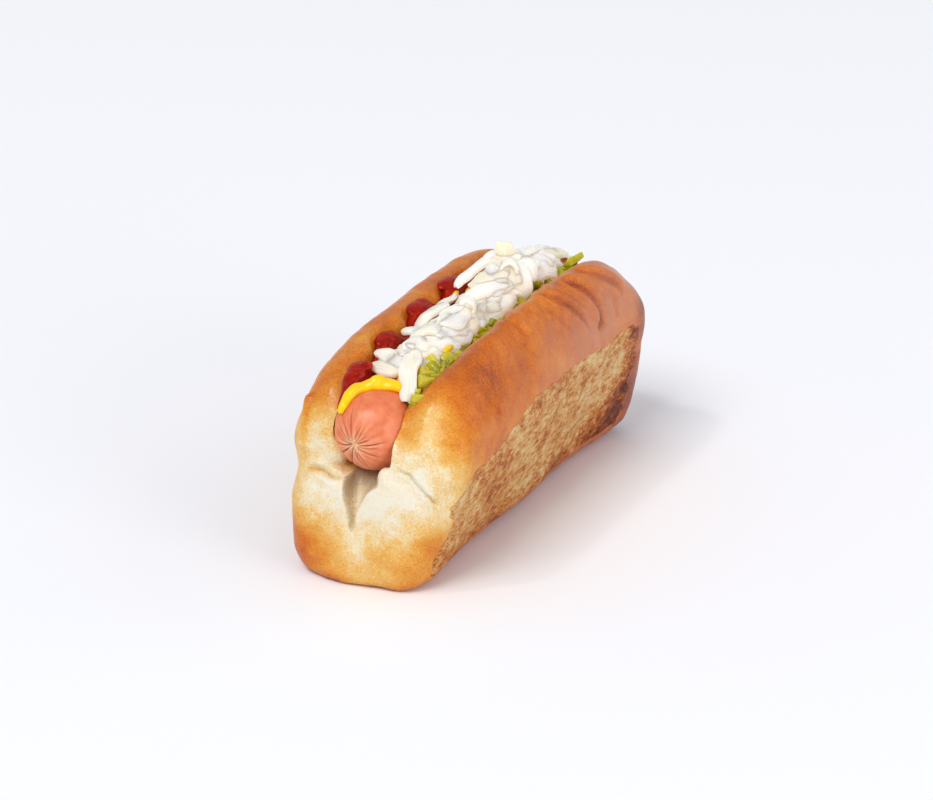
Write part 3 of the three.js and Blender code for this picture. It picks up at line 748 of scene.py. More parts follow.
# %% Crust, toast and crumb
CRUST_STOPS = [(0, "#fdf5e0"), (0.12, "#fce6b6"), (0.28, "#f8c66e"), (0.47, "#efa13a")]
CRUST_STOPS += [(0.66, "#e37b1c"), (0.84, "#c86018"), (1, "#8e400c")]
TOAST_STOPS = [(0.26, "#ffe2a8"), (0.4, "#f9c070"), (0.52, "#e48c34")]
TOAST_STOPS += [(0.62, "#c6641a"), (0.76, "#93400f"), (0.95, "#4a1e0a")]
CRUMB_STOPS = [(0.3, "#d8964e"), (0.4, "#fbd79c"), (0.5, "#fff2d0")]


def crust_finish(bread, part, seam):
    """The washed crust: the baked tone with blotches and blisters, and a painted sheen on the far shoulder;
    darker crust shines more.
    """
    marks = [(part["speckle"], 0.8), (part["blotch"], 0.2), (part["wrinkle"], -0.2), (seam, 0.1)]
    tone = total(bread, -0.4, *marks, (part["tone"], 1))
    browned = add(bread, "ValToRGB", {"Fac": tone}, stops=CRUST_STOPS)
    # painted sheen: the crust colour is mixed towards pale pink where the sheen is painted
    dull = {0: part["bloom"], MIX_A: browned, MIX_B: colour("#d3a08a")}
    look = add(bread, "Mix", dull, out=MIX_COLOUR, data_type="RGBA")
    gloss = {"Value": tone, "From Min": 0.1, "From Max": 0.7, "To Min": 0.55, "To Max": 0.28}
    relief = total(bread, -0.55, (part["wrinkle"], 0.5), (part["speckle"], 0.6))
    return look, relief, add(bread, "MapRange", gloss)


def toast_finish(bread, part, seam):
    """Griddled crumb: streaks of fibre in larger patches, with a fine grit."""
    marks = [(part["streak"], 1.25), (part["patch"], 0.9), (part["grit"], 0.4), (seam, 0.12)]
    heat = total(bread, -0.79, *marks, (part["char"], 0.3))
    relief = total(bread, 1.05, (part["grit"], -0.4), (part["streak"], -1.7))
    return add(bread, "ValToRGB", {"Fac": heat}, stops=TOAST_STOPS), relief


def crumb_finish(bread, part):
    """Open crumb: pale, with darker pores, and with painted shade where it lies under the frankfurter."""
    pale = add(bread, "ValToRGB", {"Fac": part["pores"]}, stops=CRUMB_STOPS)
    # painted shade: the crumb is mixed towards dark brown where the shade is painted
    shaded = {0: part["deep"], MIX_A: pale, MIX_B: colour("#a06a34")}
    relief = total(bread, -0.5, (part["pores"], 1))
    return add(bread, "Mix", shaded, out=MIX_COLOUR, data_type="RGBA"), relief


print("colours of crust, toast and crumb:", len(CRUST_STOPS), len(TOAST_STOPS), len(CRUMB_STOPS))

# %% Mix the bread and dress the roll
def laid_over(bread, data, griddled, cut, crust, toast, crumb):
    """Toast over crust where it was griddled, and crumb over both where it is cut."""
    first, second, result = MIX_SOCKETS[data]
    outside = add(bread, "Mix", {0: griddled, first: crust, second: toast}, out=result, data_type=data)
    return add(bread, "Mix", {0: cut, first: outside, second: crumb}, out=result, data_type=data)


def baked_bread():
    bread = new_material("baked_bread")
    part = bread_patterns(bread)
    frayed = total(bread, -0.9, (part["fray"], 0.9), (part["edge"], 0.9), (part["griddled"], 1))
    step = {"Value": frayed, "From Min": 0.25, "From Max": 0.75}
    griddled = add(bread, "MapRange", step, interpolation_type="SMOOTHSTEP")
    seam = total(bread, 0, (griddled, total(bread, 4, (griddled, -4))))
    crust, leather, shine = crust_finish(bread, part, seam)
    toast, fibres = toast_finish(bread, part, seam)
    crumb, pores = crumb_finish(bread, part)
    layers = (griddled, part["crumb"])
    relief = laid_over(bread, "FLOAT", *layers, leather, fibres, pores)
    surface(bread, {
        "Base Color": laid_over(bread, "RGBA", *layers, crust, toast, crumb),
        "Roughness": laid_over(bread, "FLOAT", *layers, shine, 0.9, 0.9),
        "Normal": add(bread, "Bump", {"Height": relief, "Strength": 1, "Distance": 1 * MM}),
        "IOR": 1.45,
        "Specular IOR Level": 0.12,
        "Coat Weight": 0.3,
        "Coat Roughness": 0.18,
    })
    return bread


dress(roll, baked_bread())
choose(roll)
bpy.ops.object.shade_smooth()
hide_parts("bun")
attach(roll, "root")
print("roll material:", roll.data.materials[0].name)

# %% [markdown]
# ## The frankfurter
#
# A skinless frankfurter is a cylinder with round ends. Where its casing was
# tied off, the end is gathered to a star of fine creases. A sphere with its
# poles at the two ends is the right start: half of it is pulled out to the
# length of the frankfurter, and its many meridians can take the creases.

# %% Model the frankfurter
sausage_low, sausage_high = (np.array(corner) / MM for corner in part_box("sausage"))
SAUSAGE_RADIUS = float(sausage_high[0] - sausage_low[0]) / 2
SAUSAGE_CENTRE = (sausage_low + sausage_high) / 2
SAUSAGE_STRAIGHT = float(sausage_high[1] - sausage_low[1]) / 2 - SAUSAGE_RADIUS
MERIDIANS, RINGS, CUTS = 320, 66, 30
# The tied ends' creases reach this far along the straight part.
CAP_REACH = 4

bpy.ops.mesh.primitive_uv_sphere_add(
    segments=MERIDIANS,
    ring_count=RINGS,
    radius=SAUSAGE_RADIUS * MM,
    location=metres(*SAUSAGE_CENTRE),
    rotation=(math.radians(90), 0, 0),
)
sausage = bpy.context.object
sausage.name = "frankfurter"
bpy.ops.object.transform_apply(location=True, rotation=True, scale=True)


def stretch_sausage():
    """Both halves moved apart; the ring in the middle goes with the far half."""
    points = points_of(sausage)
    half = np.where(points[:, 1] < -0.01, -1, 1)
    points[:, 1] += half * SAUSAGE_STRAIGHT
    return points


move_points(sausage, stretch_sausage())
bpy.ops.object.mode_set(mode="EDIT")
for station in np.linspace(CAP_REACH - SAUSAGE_STRAIGHT, SAUSAGE_STRAIGHT - CAP_REACH, CUTS):
    bpy.ops.mesh.select_all(action="SELECT")
    bpy.ops.mesh.bisect(plane_co=(0, station * MM, 0), plane_no=(0, 1, 0))
bpy.ops.object.mode_set(mode="OBJECT")
print("frankfurter:", triangles(sausage), "triangles")

# %% [markdown]
# The creases are not alike: some run far down the side, some are short. Each is
# a narrow groove along a meridian, with the skin puffed up between the grooves.

# %% Gather the ends to a star
STAR_CREASES = 22
# The knot sits a little off the middle at each end, as (x, z).
KNOT_SHIFT = {-1: (-1.2, -0.6), 1: (0.6, -0.6)}


def star(from_middle, angle, rng):
    """How deep the skin is grooved at each point, and how much painted shade darkens the crease there."""
    groove = np.zeros(len(angle))
    crease = np.zeros(len(angle))
    for i in range(STAR_CREASES):
        # Where it lies, how far out it runs, where it starts, how deep it is, and how it bends.
        at = 2 * math.pi * (i + rng.uniform(-0.34, 0.34)) / STAR_CREASES
        reach = rng.uniform(7, 13)
        start = rng.uniform(0.9, 2.6)
        depth = rng.uniform(0.3, 0.75)
        bend = rng.uniform(-0.03, 0.03)
        across = from_middle * np.angle(np.exp(1j * (angle - at - bend * from_middle)))
        length = smooth_step(reach, reach * 0.6, from_middle)
        length *= smooth_step(start - 0.5, start + 0.5, from_middle)
        groove = np.maximum(groove, depth * hill(across, 0.34) * length)
        # painted shade along the bottom of the groove
        crease = np.maximum(crease, hill(across, 0.17) * length * min(depth / 0.5, 1))
    return groove, crease


def gather_end(points, normals, end, seed):
    """Creases around the tied end: the moved points, how pale they are with painted highlights on the rays,
    and the painted shade in the creases.
    """
    shift_x, shift_z = KNOT_SHIFT[end]
    cap = points[:, 1] * end > SAUSAGE_STRAIGHT - CAP_REACH
    dx = points[:, 0] - SAUSAGE_CENTRE[0] - shift_x
    dz = points[:, 2] - SAUSAGE_CENTRE[2] - shift_z
    from_middle = np.hypot(dx, dz)
    angle = np.arctan2(dz, dx)
    groove, crease = star(from_middle, angle, random.Random(seed))
    dimple = 1.1 * hill(from_middle, 1.3)
    pucker = 0.2 * np.sin(angle * STAR_CREASES) * hill(from_middle - 2.2, 1.4)
    push = np.where(cap, pucker - groove - dimple, 0)
    # painted highlight: pale rays on the puffed skin between the creases
    ray = 0.5 + 0.5 * np.sin(angle * STAR_CREASES + 2 * lumps(points, 2, seed))
    # a paler knot in the middle, plus the painted highlights of the rays
    pale = np.clip(hill(from_middle, 3) + 0.5 * ray * hill(from_middle, 8), 0, 1)
    return points + normals * push[:, None], np.where(cap, pale, 0), np.where(cap, crease, 0)


def finish_sausage():
    points, normals = points_of(sausage), normals_of(sausage)
    points, near_pale, near_crease = gather_end(points, normals, -1, 5)
    points, far_pale, far_crease = gather_end(points, normals, 1, 9)
    points += normals * (0.4 * lumps(points, 14, 6) + 0.12 * lumps(points, 3, 8))[:, None]
    paint(sausage, "pale", near_pale + far_pale)
    paint(sausage, "crease", near_crease + far_crease)
    return points


move_points(sausage, finish_sausage())
print("creases at each end:", STAR_CREASES)

# %% [markdown]
# Cooked frankfurter skin is a thin moist film over pink meat. Light goes in
# and comes out again a little further on, which makes it look soft, so the
# shader scatters light under the surface. The gathered middle is paler, with
# painted highlights on the puffs between the creases and painted shade in the
# creases.

# %% Make the frankfurter material
def tinted(material, base, tints):
    """The base colour, with each tint laid over it where its number is painted."""
    for name, code in tints.items():
        share = add(material, "Attribute", {}, out="Fac", attribute_name=name)
        plugs = {0: share, MIX_A: base, MIX_B: colour(code)}
        base = add(material, "Mix", plugs, out=MIX_COLOUR, data_type="RGBA")
    return base


def cooked_skin():
    skin = new_material("cooked_sausage_skin")
    place = add(skin, "TexCoord", {}, out="Object")
    mottle = {"Vector": place, "Scale": per_mm(5), "Detail": 5, "Roughness": 0.6}
    stops = [(0.3, "#d96840"), (0.5, "#e37c50"), (0.7, "#ea8f68")]
    meat = add(skin, "ValToRGB", {"Fac": add(skin, "TexNoise", mottle)}, stops=stops)
    grain = add(skin, "TexNoise", {"Vector": place, "Scale": per_mm(0.6), "Detail": 3})
    relief = add(skin, "Bump", {"Height": grain, "Strength": 1, "Distance": 0.06 * MM})
    film = {"Normal": relief, "Roughness": 0.36, "IOR": 1.42}
    # the paler knot with its painted highlights, and the painted shade in the creases
    meat = tinted(skin, meat, {"pale": "#f1bf94", "crease": "#a8482a"})
    soft_surface(skin, {"Base Color": meat, **film}, 0.3, (1.8, 0.7, 0.4))
    return skin


dress(sausage, cooked_skin())
choose(sausage)
bpy.ops.object.shade_smooth()
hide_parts("sausage")
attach(sausage, "root")
print("frankfurter material:", sausage.data.materials[0].name)

# %% [markdown]
# Soft bread closes on what lies in it. Near both ends the lips are drawn up to
# the frankfurter's round end, and below it the slit's left wall leans in.

# %% Close the roll on the frankfurter
# Bread closer to the frankfurter than this is drawn up until only the gap is left.
CLOSING_REACH, CLOSED_GAP = 7.5, 0.3
# How far the slit's wall leans in near the near end, at this height.
WALL_MOVE, WALL_HEIGHT = 1.8, 22


def from_sausage(points):
    """Vector from the frankfurter's core line to each point, and its length."""
    out = points - SAUSAGE_CENTRE
    out[:, 1] = np.clip(np.abs(out[:, 1]) - SAUSAGE_STRAIGHT, 0, None) * np.sign(out[:, 1])
    return out, np.linalg.norm(out, axis=1)


def close_roll():
    points = points_of(roll)
    x, y, z = points.T
    out, far = from_sausage(points)
    gap = far - SAUSAGE_RADIUS
    at_end = smooth_step(54, 62, np.abs(y)) * smooth_step(-4, 2, z - SAUSAGE_CENTRE[2])
    drawn = (gap - CLOSED_GAP) * smooth_step(CLOSING_REACH, 3, gap) * (gap > CLOSED_GAP) * at_end
    closed = points - out / far[:, None] * drawn[:, None]
    wall = hill(z - WALL_HEIGHT, 6) * smooth_step(-12, -8, x) * smooth_step(-1, -4, x)
    closed[:, 0] += WALL_MOVE * wall * smooth_step(-50, -60, y)
    return closed


move_points(roll, close_roll())
print("the frankfurter's middle:", SAUSAGE_CENTRE.round(1), "radius:", round(SAUSAGE_RADIUS, 2))

# %% [markdown]
# ## Sauces
#
# Thick sauce is squeezed out as a bead and sags until its own stiffness stops
# it. A bead is drawn as a curve whose radius changes along the way; blobs are
# added where it piles up; and all of it is melted to one skin by a voxel
# remesh and smoothed. That gives the round, swollen forms of real sauce. The
# beds under relish and onion are made in the same way.

# %% A bead of sauce
def smooth_line(stations, steps):
    """Points on a soft curve through the stations; further columns are carried along."""
    rows = np.array(stations, float)
    ends = np.vstack([2 * rows[0] - rows[1], rows, 2 * rows[-1] - rows[-2]])
    out = []
    for k in range(len(rows) - 1):
        a, b, c, d = ends[k : k + 4]
        square, cube = 2 * a - 5 * b + 4 * c - d, 3 * b - 3 * c + d - a
        for t in np.linspace(0, 1, steps, endpoint=False):
            out.append(0.5 * (2 * b + (c - a) * t + square * t**2 + cube * t**3))
    return np.array(out + [rows[-1]])


def bead(name, stations):
    """A tube along stations of (x, y, z, radius) in millimetres, as a mesh."""
    line = smooth_line(stations, 6)
    curve = bpy.data.curves.new(name, "CURVE")
    curve.dimensions = "3D"
    curve.bevel_depth = MM
    curve.bevel_resolution = 4
    curve.use_fill_caps = True
    spline = curve.splines.new("POLY")
    spline.points.add(len(line) - 1)
    for point, (x, y, z, radius) in zip(spline.points, line):
        point.co = (*metres(x, y, z), 1)
        point.radius = radius
    piece = bpy.data.objects.new(name, curve)
    bpy.context.collection.objects.link(piece)
    choose(piece)
    bpy.ops.object.convert(target="MESH")
    return bpy.context.object


def melt(name, pieces, spacing, rounds, lump_size, lump_height, seed):
    """Joins the pieces to one skin, smooths it and gives it slow lumps."""
    choose(*pieces)
    bpy.ops.object.join()
    sauce = bpy.context.object
    sauce.name = name
    finish_with(sauce, "REMESH", mode="VOXEL", voxel_size=spacing * MM)
    finish_with(sauce, "SMOOTH", factor=0.5, iterations=rounds)
    points = points_of(sauce)
    move_points(sauce, points + normals_of(sauce) * (lump_height * lumps(points, lump_size, seed))[:, None])
    choose(sauce)
    bpy.ops.object.shade_smooth()
    return sauce


print("a soft curve through 3 stations:", len(smooth_line([(0, 0), (1, 1), (2, 0)], 6)), "points")

# %% [markdown]
# Ketchup is a tomato paste with vinegar: deep red, glossy, and dark where it is
# thick. It lies in the gutter between the frankfurter and the left lobe and
# was squeezed out in swellings that climb up the lobe.

# %% Ketchup
KETCHUP_LINE = [
    (-9.8, -69.5, 57.5, 1.4),
    (-11, -62, 61.2, 2.5),
    (-12.6, -53, 63, 3.7),
    (-12, -42, 60.6, 2.7),
    (-13.6, -30, 63.8, 3.3),
    (-12, -19.5, 61, 2.7),
    (-14.4, -6.5, 65.6, 3.6),
    (-12.4, 5, 61.6, 2.7),
    (-13.8, 17, 65.2, 3.6),
    (-12.6, 32, 63.6, 3.4),
    (-11.6, 46, 61.5, 3),
    (-11, 57, 59, 2.2),
]
KETCHUP_BLOBS = [
    ((-10.2, -52, 65.6), (2.4, 3, 1.8)),
    ((-12.6, -58, 63.6), (2, 3, 1.6)),
    ((-15, -30, 65.8), (3, 5.4, 1.5)),
    ((-15.8, -6, 67.6), (3, 6.4, 1.6)),
    ((-15.8, 15, 67.6), (3, 5.6, 1.6)),
]


def tomato_sauce():
    """Tomato sauce: a saturated dark red with a wet skin."""
    sauce = new_material("tomato_sauce")
    place = add(sauce, "TexCoord", {}, out="Object")
    pulp = add(sauce, "TexNoise", {"Vector": place, "Scale": per_mm(1.4), "Detail": 4})
    stops = [(0.3, "#820b00"), (0.55, "#a41700"), (0.75, "#bd2a04")]
    red = add(sauce, "ValToRGB", {"Fac": pulp}, stops=stops)
    relief = add(sauce, "Bump", {"Height": pulp, "Strength": 1, "Distance": 0.04 * MM})
    wet = {"Normal": relief, "Roughness": 0.08, "IOR": 1.45, "Specular IOR Level": 0.2}
    soft_surface(sauce, {"Base Color": red, **wet}, 0.1, (1.2, 0.2, 0.1))
    return sauce


ketchup = melt(
    "ketchup_bead",
    [bead("ketchup_line", KETCHUP_LINE)] + [blob(*spot) for spot in KETCHUP_BLOBS],
    spacing=0.4,
    rounds=12,
    lump_size=5,
    lump_height=0.5,
    seed=11,
)
dress(ketchup, tomato_sauce())
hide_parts("ketchup")
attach(ketchup, "root")
print("ketchup:", triangles(ketchup), "triangles")

# %% [markdown]
# Yellow mustard is smoother and stiffer than ketchup. Its bead starts thin on
# the left of the frankfurter's near end, crosses it, and goes on in a zigzag
# under the onion. Where onion was pressed into it, it shows again as smears.

# %% Mustard
MUSTARD_START = [
    (-9.4, -71, 57.4, 1.1),
    (-9, -67.6, 61, 1.9),
    (-7.2, -62.8, 63, 2.2),
    (-2.8, -59.2, 64, 2.3),
    (1.4, -57, 64, 2.3),
    (4, -53.8, 62.2, 1.8),
]
# The zigzag under the onion: how many turns, where it starts, and its step along the roll.
ZIGZAG_TURNS, ZIGZAG_START, ZIGZAG_STEP = 12, -51, 8.6
# How far it swings, how high it lies, and its radius.
ZIGZAG_SWING, ZIGZAG_TOP, ZIGZAG_RADIUS = 3.6, 64, 2.3


def mustard_line():
    line = list(MUSTARD_START)
    for turn in range(1, ZIGZAG_TURNS + 1):
        swing = ZIGZAG_SWING * math.sin(math.pi / 2 * (turn + 1))
        height = ZIGZAG_TOP - 0.06 * swing**2
        line.append((SAUSAGE_CENTRE[0] + swing, ZIGZAG_START + ZIGZAG_STEP * turn, height, ZIGZAG_RADIUS))
    return line


def yellow_mustard():
    """Mustard: an opaque clean yellow, smooth and glossy."""
    sauce = new_material("yellow_mustard")
    place = add(sauce, "TexCoord", {}, out="Object")
    swirl = add(sauce, "TexNoise", {"Vector": place, "Scale": per_mm(4), "Detail": 3})
    yellow = add(sauce, "ValToRGB", {"Fac": swirl}, stops=[(0.35, "#fcc400"), (0.65, "#ffd60a")])
    wet = {"Roughness": 0.22, "IOR": 1.45, "Specular IOR Level": 0.4}
    soft_surface(sauce, {"Base Color": yellow, **wet}, 0.15, (1.2, 0.9, 0.1))
    return sauce


print("the mustard turns", ZIGZAG_TURNS, "times under the onion")

# %% [markdown]
# Before a bead stiffens it sags. Mustard that was laid in the air just above
# the frankfurter is drawn a little towards its round back.

# %% Lay the mustard
def settle_on_sausage(sauce, share):
    """The sauce sags onto the frankfurter: what lies above its skin comes nearer to it."""
    points = points_of(sauce)
    out, far = from_sausage(points)
    above = np.clip(far - SAUSAGE_RADIUS, 0, None)
    move_points(sauce, points - out * (above * share / far)[:, None])


# Where onion was pressed into the mustard it shows as smears: place, and size.
MUSTARD_SMEARS = [
    ((9, -31, 68.4), (0.9, 3.2, 0.8)),
    ((8.4, -44, 66.4), (0.8, 1.6, 0.7)),
    ((-5.6, 10, 70.6), (1.2, 2.4, 0.9)),
    ((-9.4, 7, 69.4), (0.8, 2.2, 0.6)),
]
mustard_parts = [bead("mustard_line", mustard_line()), blob((-2.4, -58.4, 65.4), (2.6, 2.4, 1.9))]
mustard = melt(
    "mustard_bead",
    mustard_parts + [blob(*smear) for smear in MUSTARD_SMEARS],
    spacing=0.35,
    rounds=6,
    lump_size=4,
    lump_height=0.8,
    seed=12,
)
settle_on_sausage(mustard, 0.16)
dress(mustard, yellow_mustard())
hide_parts("mustard")
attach(mustard, "root")
print("mustard:", triangles(mustard), "triangles")

# %% [markdown]
# ## Relish
#
# Green relish is pickled cucumber, cut to dice of about four millimetres, in a
# thick yellow-green syrup. Six dice are modelled, each a cube with worn edges
# and corners pushed about.

# %% Model the dice
RELISH_LINE = [
    (11.6, -63, 55.4, 1.6),
    (12, -55, 59.6, 2.7),
    (10.6, -37, 61, 3.4),
    (9.6, -12, 61, 3.4),
    (10, 12, 61.4, 3.6),
    (10, 36, 61.4, 3.6),
    (9.6, 54, 59.6, 3.2),
    (9, 64, 55.6, 2.3),
]
RELISH_DICE = 4.2
# How many dice are strewn, from where, how far along the roll, and how far out at most.
RELISH_COUNT, RELISH_START, RELISH_RUN, RELISH_EDGE = 170, -60, 123, 11.2
# The large dice that show, as (x, y, z, size).
RELISH_HEROES = [
    (11.4, -57.5, 61, 5),
    (10.4, -50.5, 63.8, 5.4),
    (10, -42.5, 64.8, 5),
    (8.4, -51.5, 62.4, 5.2),
    (8, -46, 64.2, 5.4),
    (8.8, -40.5, 65.4, 4.8),
    (9.6, -33.5, 64.8, 4.6),
    (8.6, -9.5, 65, 4.6),
    (10.2, -3.5, 65.4, 4.6),
    (11, 55, 65.8, 4.4),
]


def model_dice(rng):
    bpy.ops.mesh.primitive_cube_add(size=MM)
    dice = bpy.context.object
    bpy.ops.object.mode_set(mode="EDIT")
    bpy.ops.mesh.select_all(action="SELECT")
    bpy.ops.transform.resize(value=(rng.uniform(0.8, 1.1), rng.uniform(0.9, 1.7), rng.uniform(0.45, 0.8)))
    bpy.ops.mesh.bevel(offset=0.12 * MM, segments=2, affect="EDGES")
    bpy.ops.object.mode_set(mode="OBJECT")
    finish_with(dice, "TRIANGULATE")
    points = points_of(dice)
    move_points(dice, points + 0.22 * wobble(points, 0.8, rng))
    bpy.ops.object.shade_smooth_by_angle(angle=math.radians(40))
    return dice


dice_rng = random.Random(31)
dice_shapes = [model_dice(dice_rng) for _ in range(6)]
print("one dice has", triangles(dice_shapes[0]), "triangles")

# %% [markdown]
# The dice are then copied at many sizes and turns onto a bed. The large ones
# that catch the eye have places of their own, and the rest are strewn along
# the bed from a fixed seed, so that the heap is the same on each run.

# %% Copy the dice onto the bed
# How far a dice may tip, in radians, and its size with worn edges as a share of the full size.
MAX_TILT, WORN_SHARE = 0.8, 0.95


def own_copy(piece):
    copy = piece.copy()
    copy.data = piece.data.copy()
    bpy.context.collection.objects.link(copy)
    return copy


def remove(pieces):
    for piece in pieces:
        bpy.data.objects.remove(piece)


def place_dice(shape, place, size, rng):
    dice = own_copy(shape)
    turn = Matrix.Rotation(rng.uniform(0, math.pi), 3, "Z")
    for axis in "YX":
        turn = turn @ Matrix.Rotation(rng.uniform(-MAX_TILT, MAX_TILT), 3, axis)
    points = points_of(dice) * size @ np.array(turn).T
    move_points(dice, points + np.array(place))
    paint(dice, "tint", rng.uniform(0, 1))
    return dice


def relish_dice():
    rng = random.Random(2024)
    line = smooth_line(RELISH_LINE, 8)
    dice = []
    for x, y, z, size in RELISH_HEROES:
        dice.append(place_dice(rng.choice(dice_shapes), (x, y, z), size * WORN_SHARE, rng))
    for i in range(RELISH_COUNT):
        y = RELISH_START + RELISH_RUN * (i + rng.random()) / RELISH_COUNT
        x, _, z, radius = (np.interp(y, line[:, 1], line[:, k]) for k in range(4))
        across = rng.uniform(-1, 1)
        height = z + radius * (1 - 0.5 * across**2) + rng.uniform(-1.2, 0.7)
        place = (min(x + across * (radius + 0.6), RELISH_EDGE), y, height)
        dice.append(place_dice(rng.choice(dice_shapes), place, RELISH_DICE * rng.uniform(0.5, 1), rng))
    return dice


relish_bed = melt(
    "relish_bed",
    [bead("relish_line", RELISH_LINE)],
    spacing=0.6,
    rounds=3,
    lump_size=2.4,
    lump_height=1.6,
    seed=13,
)
relish_pieces = relish_dice()
print("dice on the bed:", len(relish_pieces))

# %% [markdown]
# Dice and bed share one finish. A number on each dice tints it, from olive
# through yellow-green to the gold of a bit of pepper.

# %% Finish the relish
def pickle_relish():
    """Pickled cucumber in syrup: translucent yellow-green, wet."""
    pickle = new_material("pickle_relish")
    place = add(pickle, "TexCoord", {}, out="Object")
    flesh = add(pickle, "TexNoise", {"Vector": place, "Scale": per_mm(1.5), "Detail": 3})
    tint = add(pickle, "Attribute", {}, out="Fac", attribute_name="tint")
    shade = {"Fac": total(pickle, -0.25, (tint, 1), (flesh, 0.5))}
    stops = [(0, "#8f9a08"), (0.3, "#bcbc10"), (0.6, "#dccf22"), (0.85, "#ecdc50"), (1, "#e8b820")]
    relief = add(pickle, "Bump", {"Height": flesh, "Strength": 1, "Distance": 0.12 * MM})
    wet = {"Normal": relief, "Roughness": 0.12, "IOR": 1.4, "Transmission Weight": 0.3}
    green = add(pickle, "ValToRGB", shade, stops=stops)
    soft_surface(pickle, {"Base Color": green, **wet}, 0.6, (2.2, 2.4, 0.5))
    return pickle


pickle = pickle_relish()
paint(relish_bed, "tint", 0.2)
choose(*relish_pieces)
bpy.ops.object.join()
relish = bpy.context.object
relish.name = "relish_dice"
for piece in (relish_bed, relish):
    dress(piece, pickle)
    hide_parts("relish")
    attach(piece, "root")
remove(dice_shapes)
print("relish:", triangles(relish), "triangles")

# %% [markdown]
# ## Onion
#
# An onion is layers, each one or two millimetres of crisp, wet, translucent
# flesh with fine veins. Chopped, it falls to curved strips, petals and short
# bits. A strip is a grid given thickness and worn edges. It is then bent along
# its length and cupped across, as its layer was.

# %% Model one strip
ONION_THICKNESS, WORN_EDGE = 1.6, 0.36
STRIP_STEP = 1.0


def flat_strip(length, width):
    """A flat strip centred on the origin: x across, y along, in millimetres."""
    across, along = max(4, round(width / STRIP_STEP)), max(4, round(length / STRIP_STEP))
    bpy.ops.mesh.primitive_grid_add(x_subdivisions=across, y_subdivisions=along, size=MM)
    strip = bpy.context.object
    bpy.ops.object.mode_set(mode="EDIT")
    bpy.ops.mesh.select_all(action="SELECT")
    bpy.ops.transform.resize(value=(width, length, 1))
    bpy.ops.object.mode_set(mode="OBJECT")
    finish_with(strip, "SOLIDIFY", thickness=ONION_THICKNESS * MM, offset=0)
    finish_with(strip, "BEVEL", width=WORN_EDGE * MM, segments=3, angle_limit=math.radians(50))
    return strip


print("a strip is", ONION_THICKNESS, "mm thick, with edges worn", WORN_EDGE, "mm")

# %% [markdown]
# To bend a strip, each of its points is put beside a soft line: as far along
# it, as far to the side and as far out as it was on the flat strip.

# %% Bend a strip
# A strip narrows over the last part of each half, and gets thinner towards its ends.
NARROWS_FROM, NARROWED, THINNED = 0.84, 0.6, 0.35


def along_rows(share, rows):
    """The rows' values at a share from 0, the first row, to 1, the last."""
    stations = np.linspace(0, 1, len(rows))
    return np.stack([np.interp(share, stations, column) for column in np.array(rows, float).T], axis=1)


def unit(vectors):
    return vectors / np.linalg.norm(vectors, axis=1)[:, None]


def mark(strip, vein, tint):
    """Where the veins lie, across the strip, and how white it is."""
    paint(strip, "vein", vein)
    paint(strip, "tint", tint)
    return strip


def follow(strip, spine, outs, cup, taper, rng):
    """Lays a flat strip along a spine of points, with its outside towards outs."""
    points = points_of(strip)
    size = points.max(axis=0) - points.min(axis=0)
    along = points[:, 1] / size[1] + 0.5
    line = smooth_line(spine, 12)
    run = unit(along_rows(along, np.gradient(line, axis=0)))
    out = along_rows(along, outs)
    out = unit(out - run * (out * run).sum(axis=1)[:, None])
    ends = np.abs(2 * along - 1)
    at_end = np.clip((ends - NARROWS_FROM) / (1 - NARROWS_FROM), 0, 1)
    rounded = np.sqrt(1 - NARROWED * at_end**2)
    across = points[:, 0] * (1 - taper * ends**3) * rounded
    sag = cup * (2 * points[:, 0] / size[0]) ** 2
    thin = 1 - THINNED * ends**4
    placed = along_rows(along, line) + across[:, None] * np.cross(run, out)
    placed += (points[:, 2] * thin - sag)[:, None] * out
    placed += 1.2 * wobble(placed, 7, rng)
    placed += 0.18 * wobble(placed, 3, rng)
    move_points(strip, placed)
    return mark(strip, points[:, 0] + rng.uniform(0, 50), rng.uniform(0, 1))


def bowed(start, end, out, bow):
    """A spine from start to end that bows towards out."""
    start, end, out = (np.array(v, float) for v in (start, end, out))
    out = out / np.linalg.norm(out)
    return [start + (end - start) * t + out * bow * math.sin(math.pi * t) for t in (0, 0.33, 0.67, 1)]


print("at its ends a strip is", round((1 - THINNED) * ONION_THICKNESS, 2), "mm thick")

# %% [markdown]
# The strips that make the heap's face are laid one by one, the large ones by
# their ends and the others as they are seen.

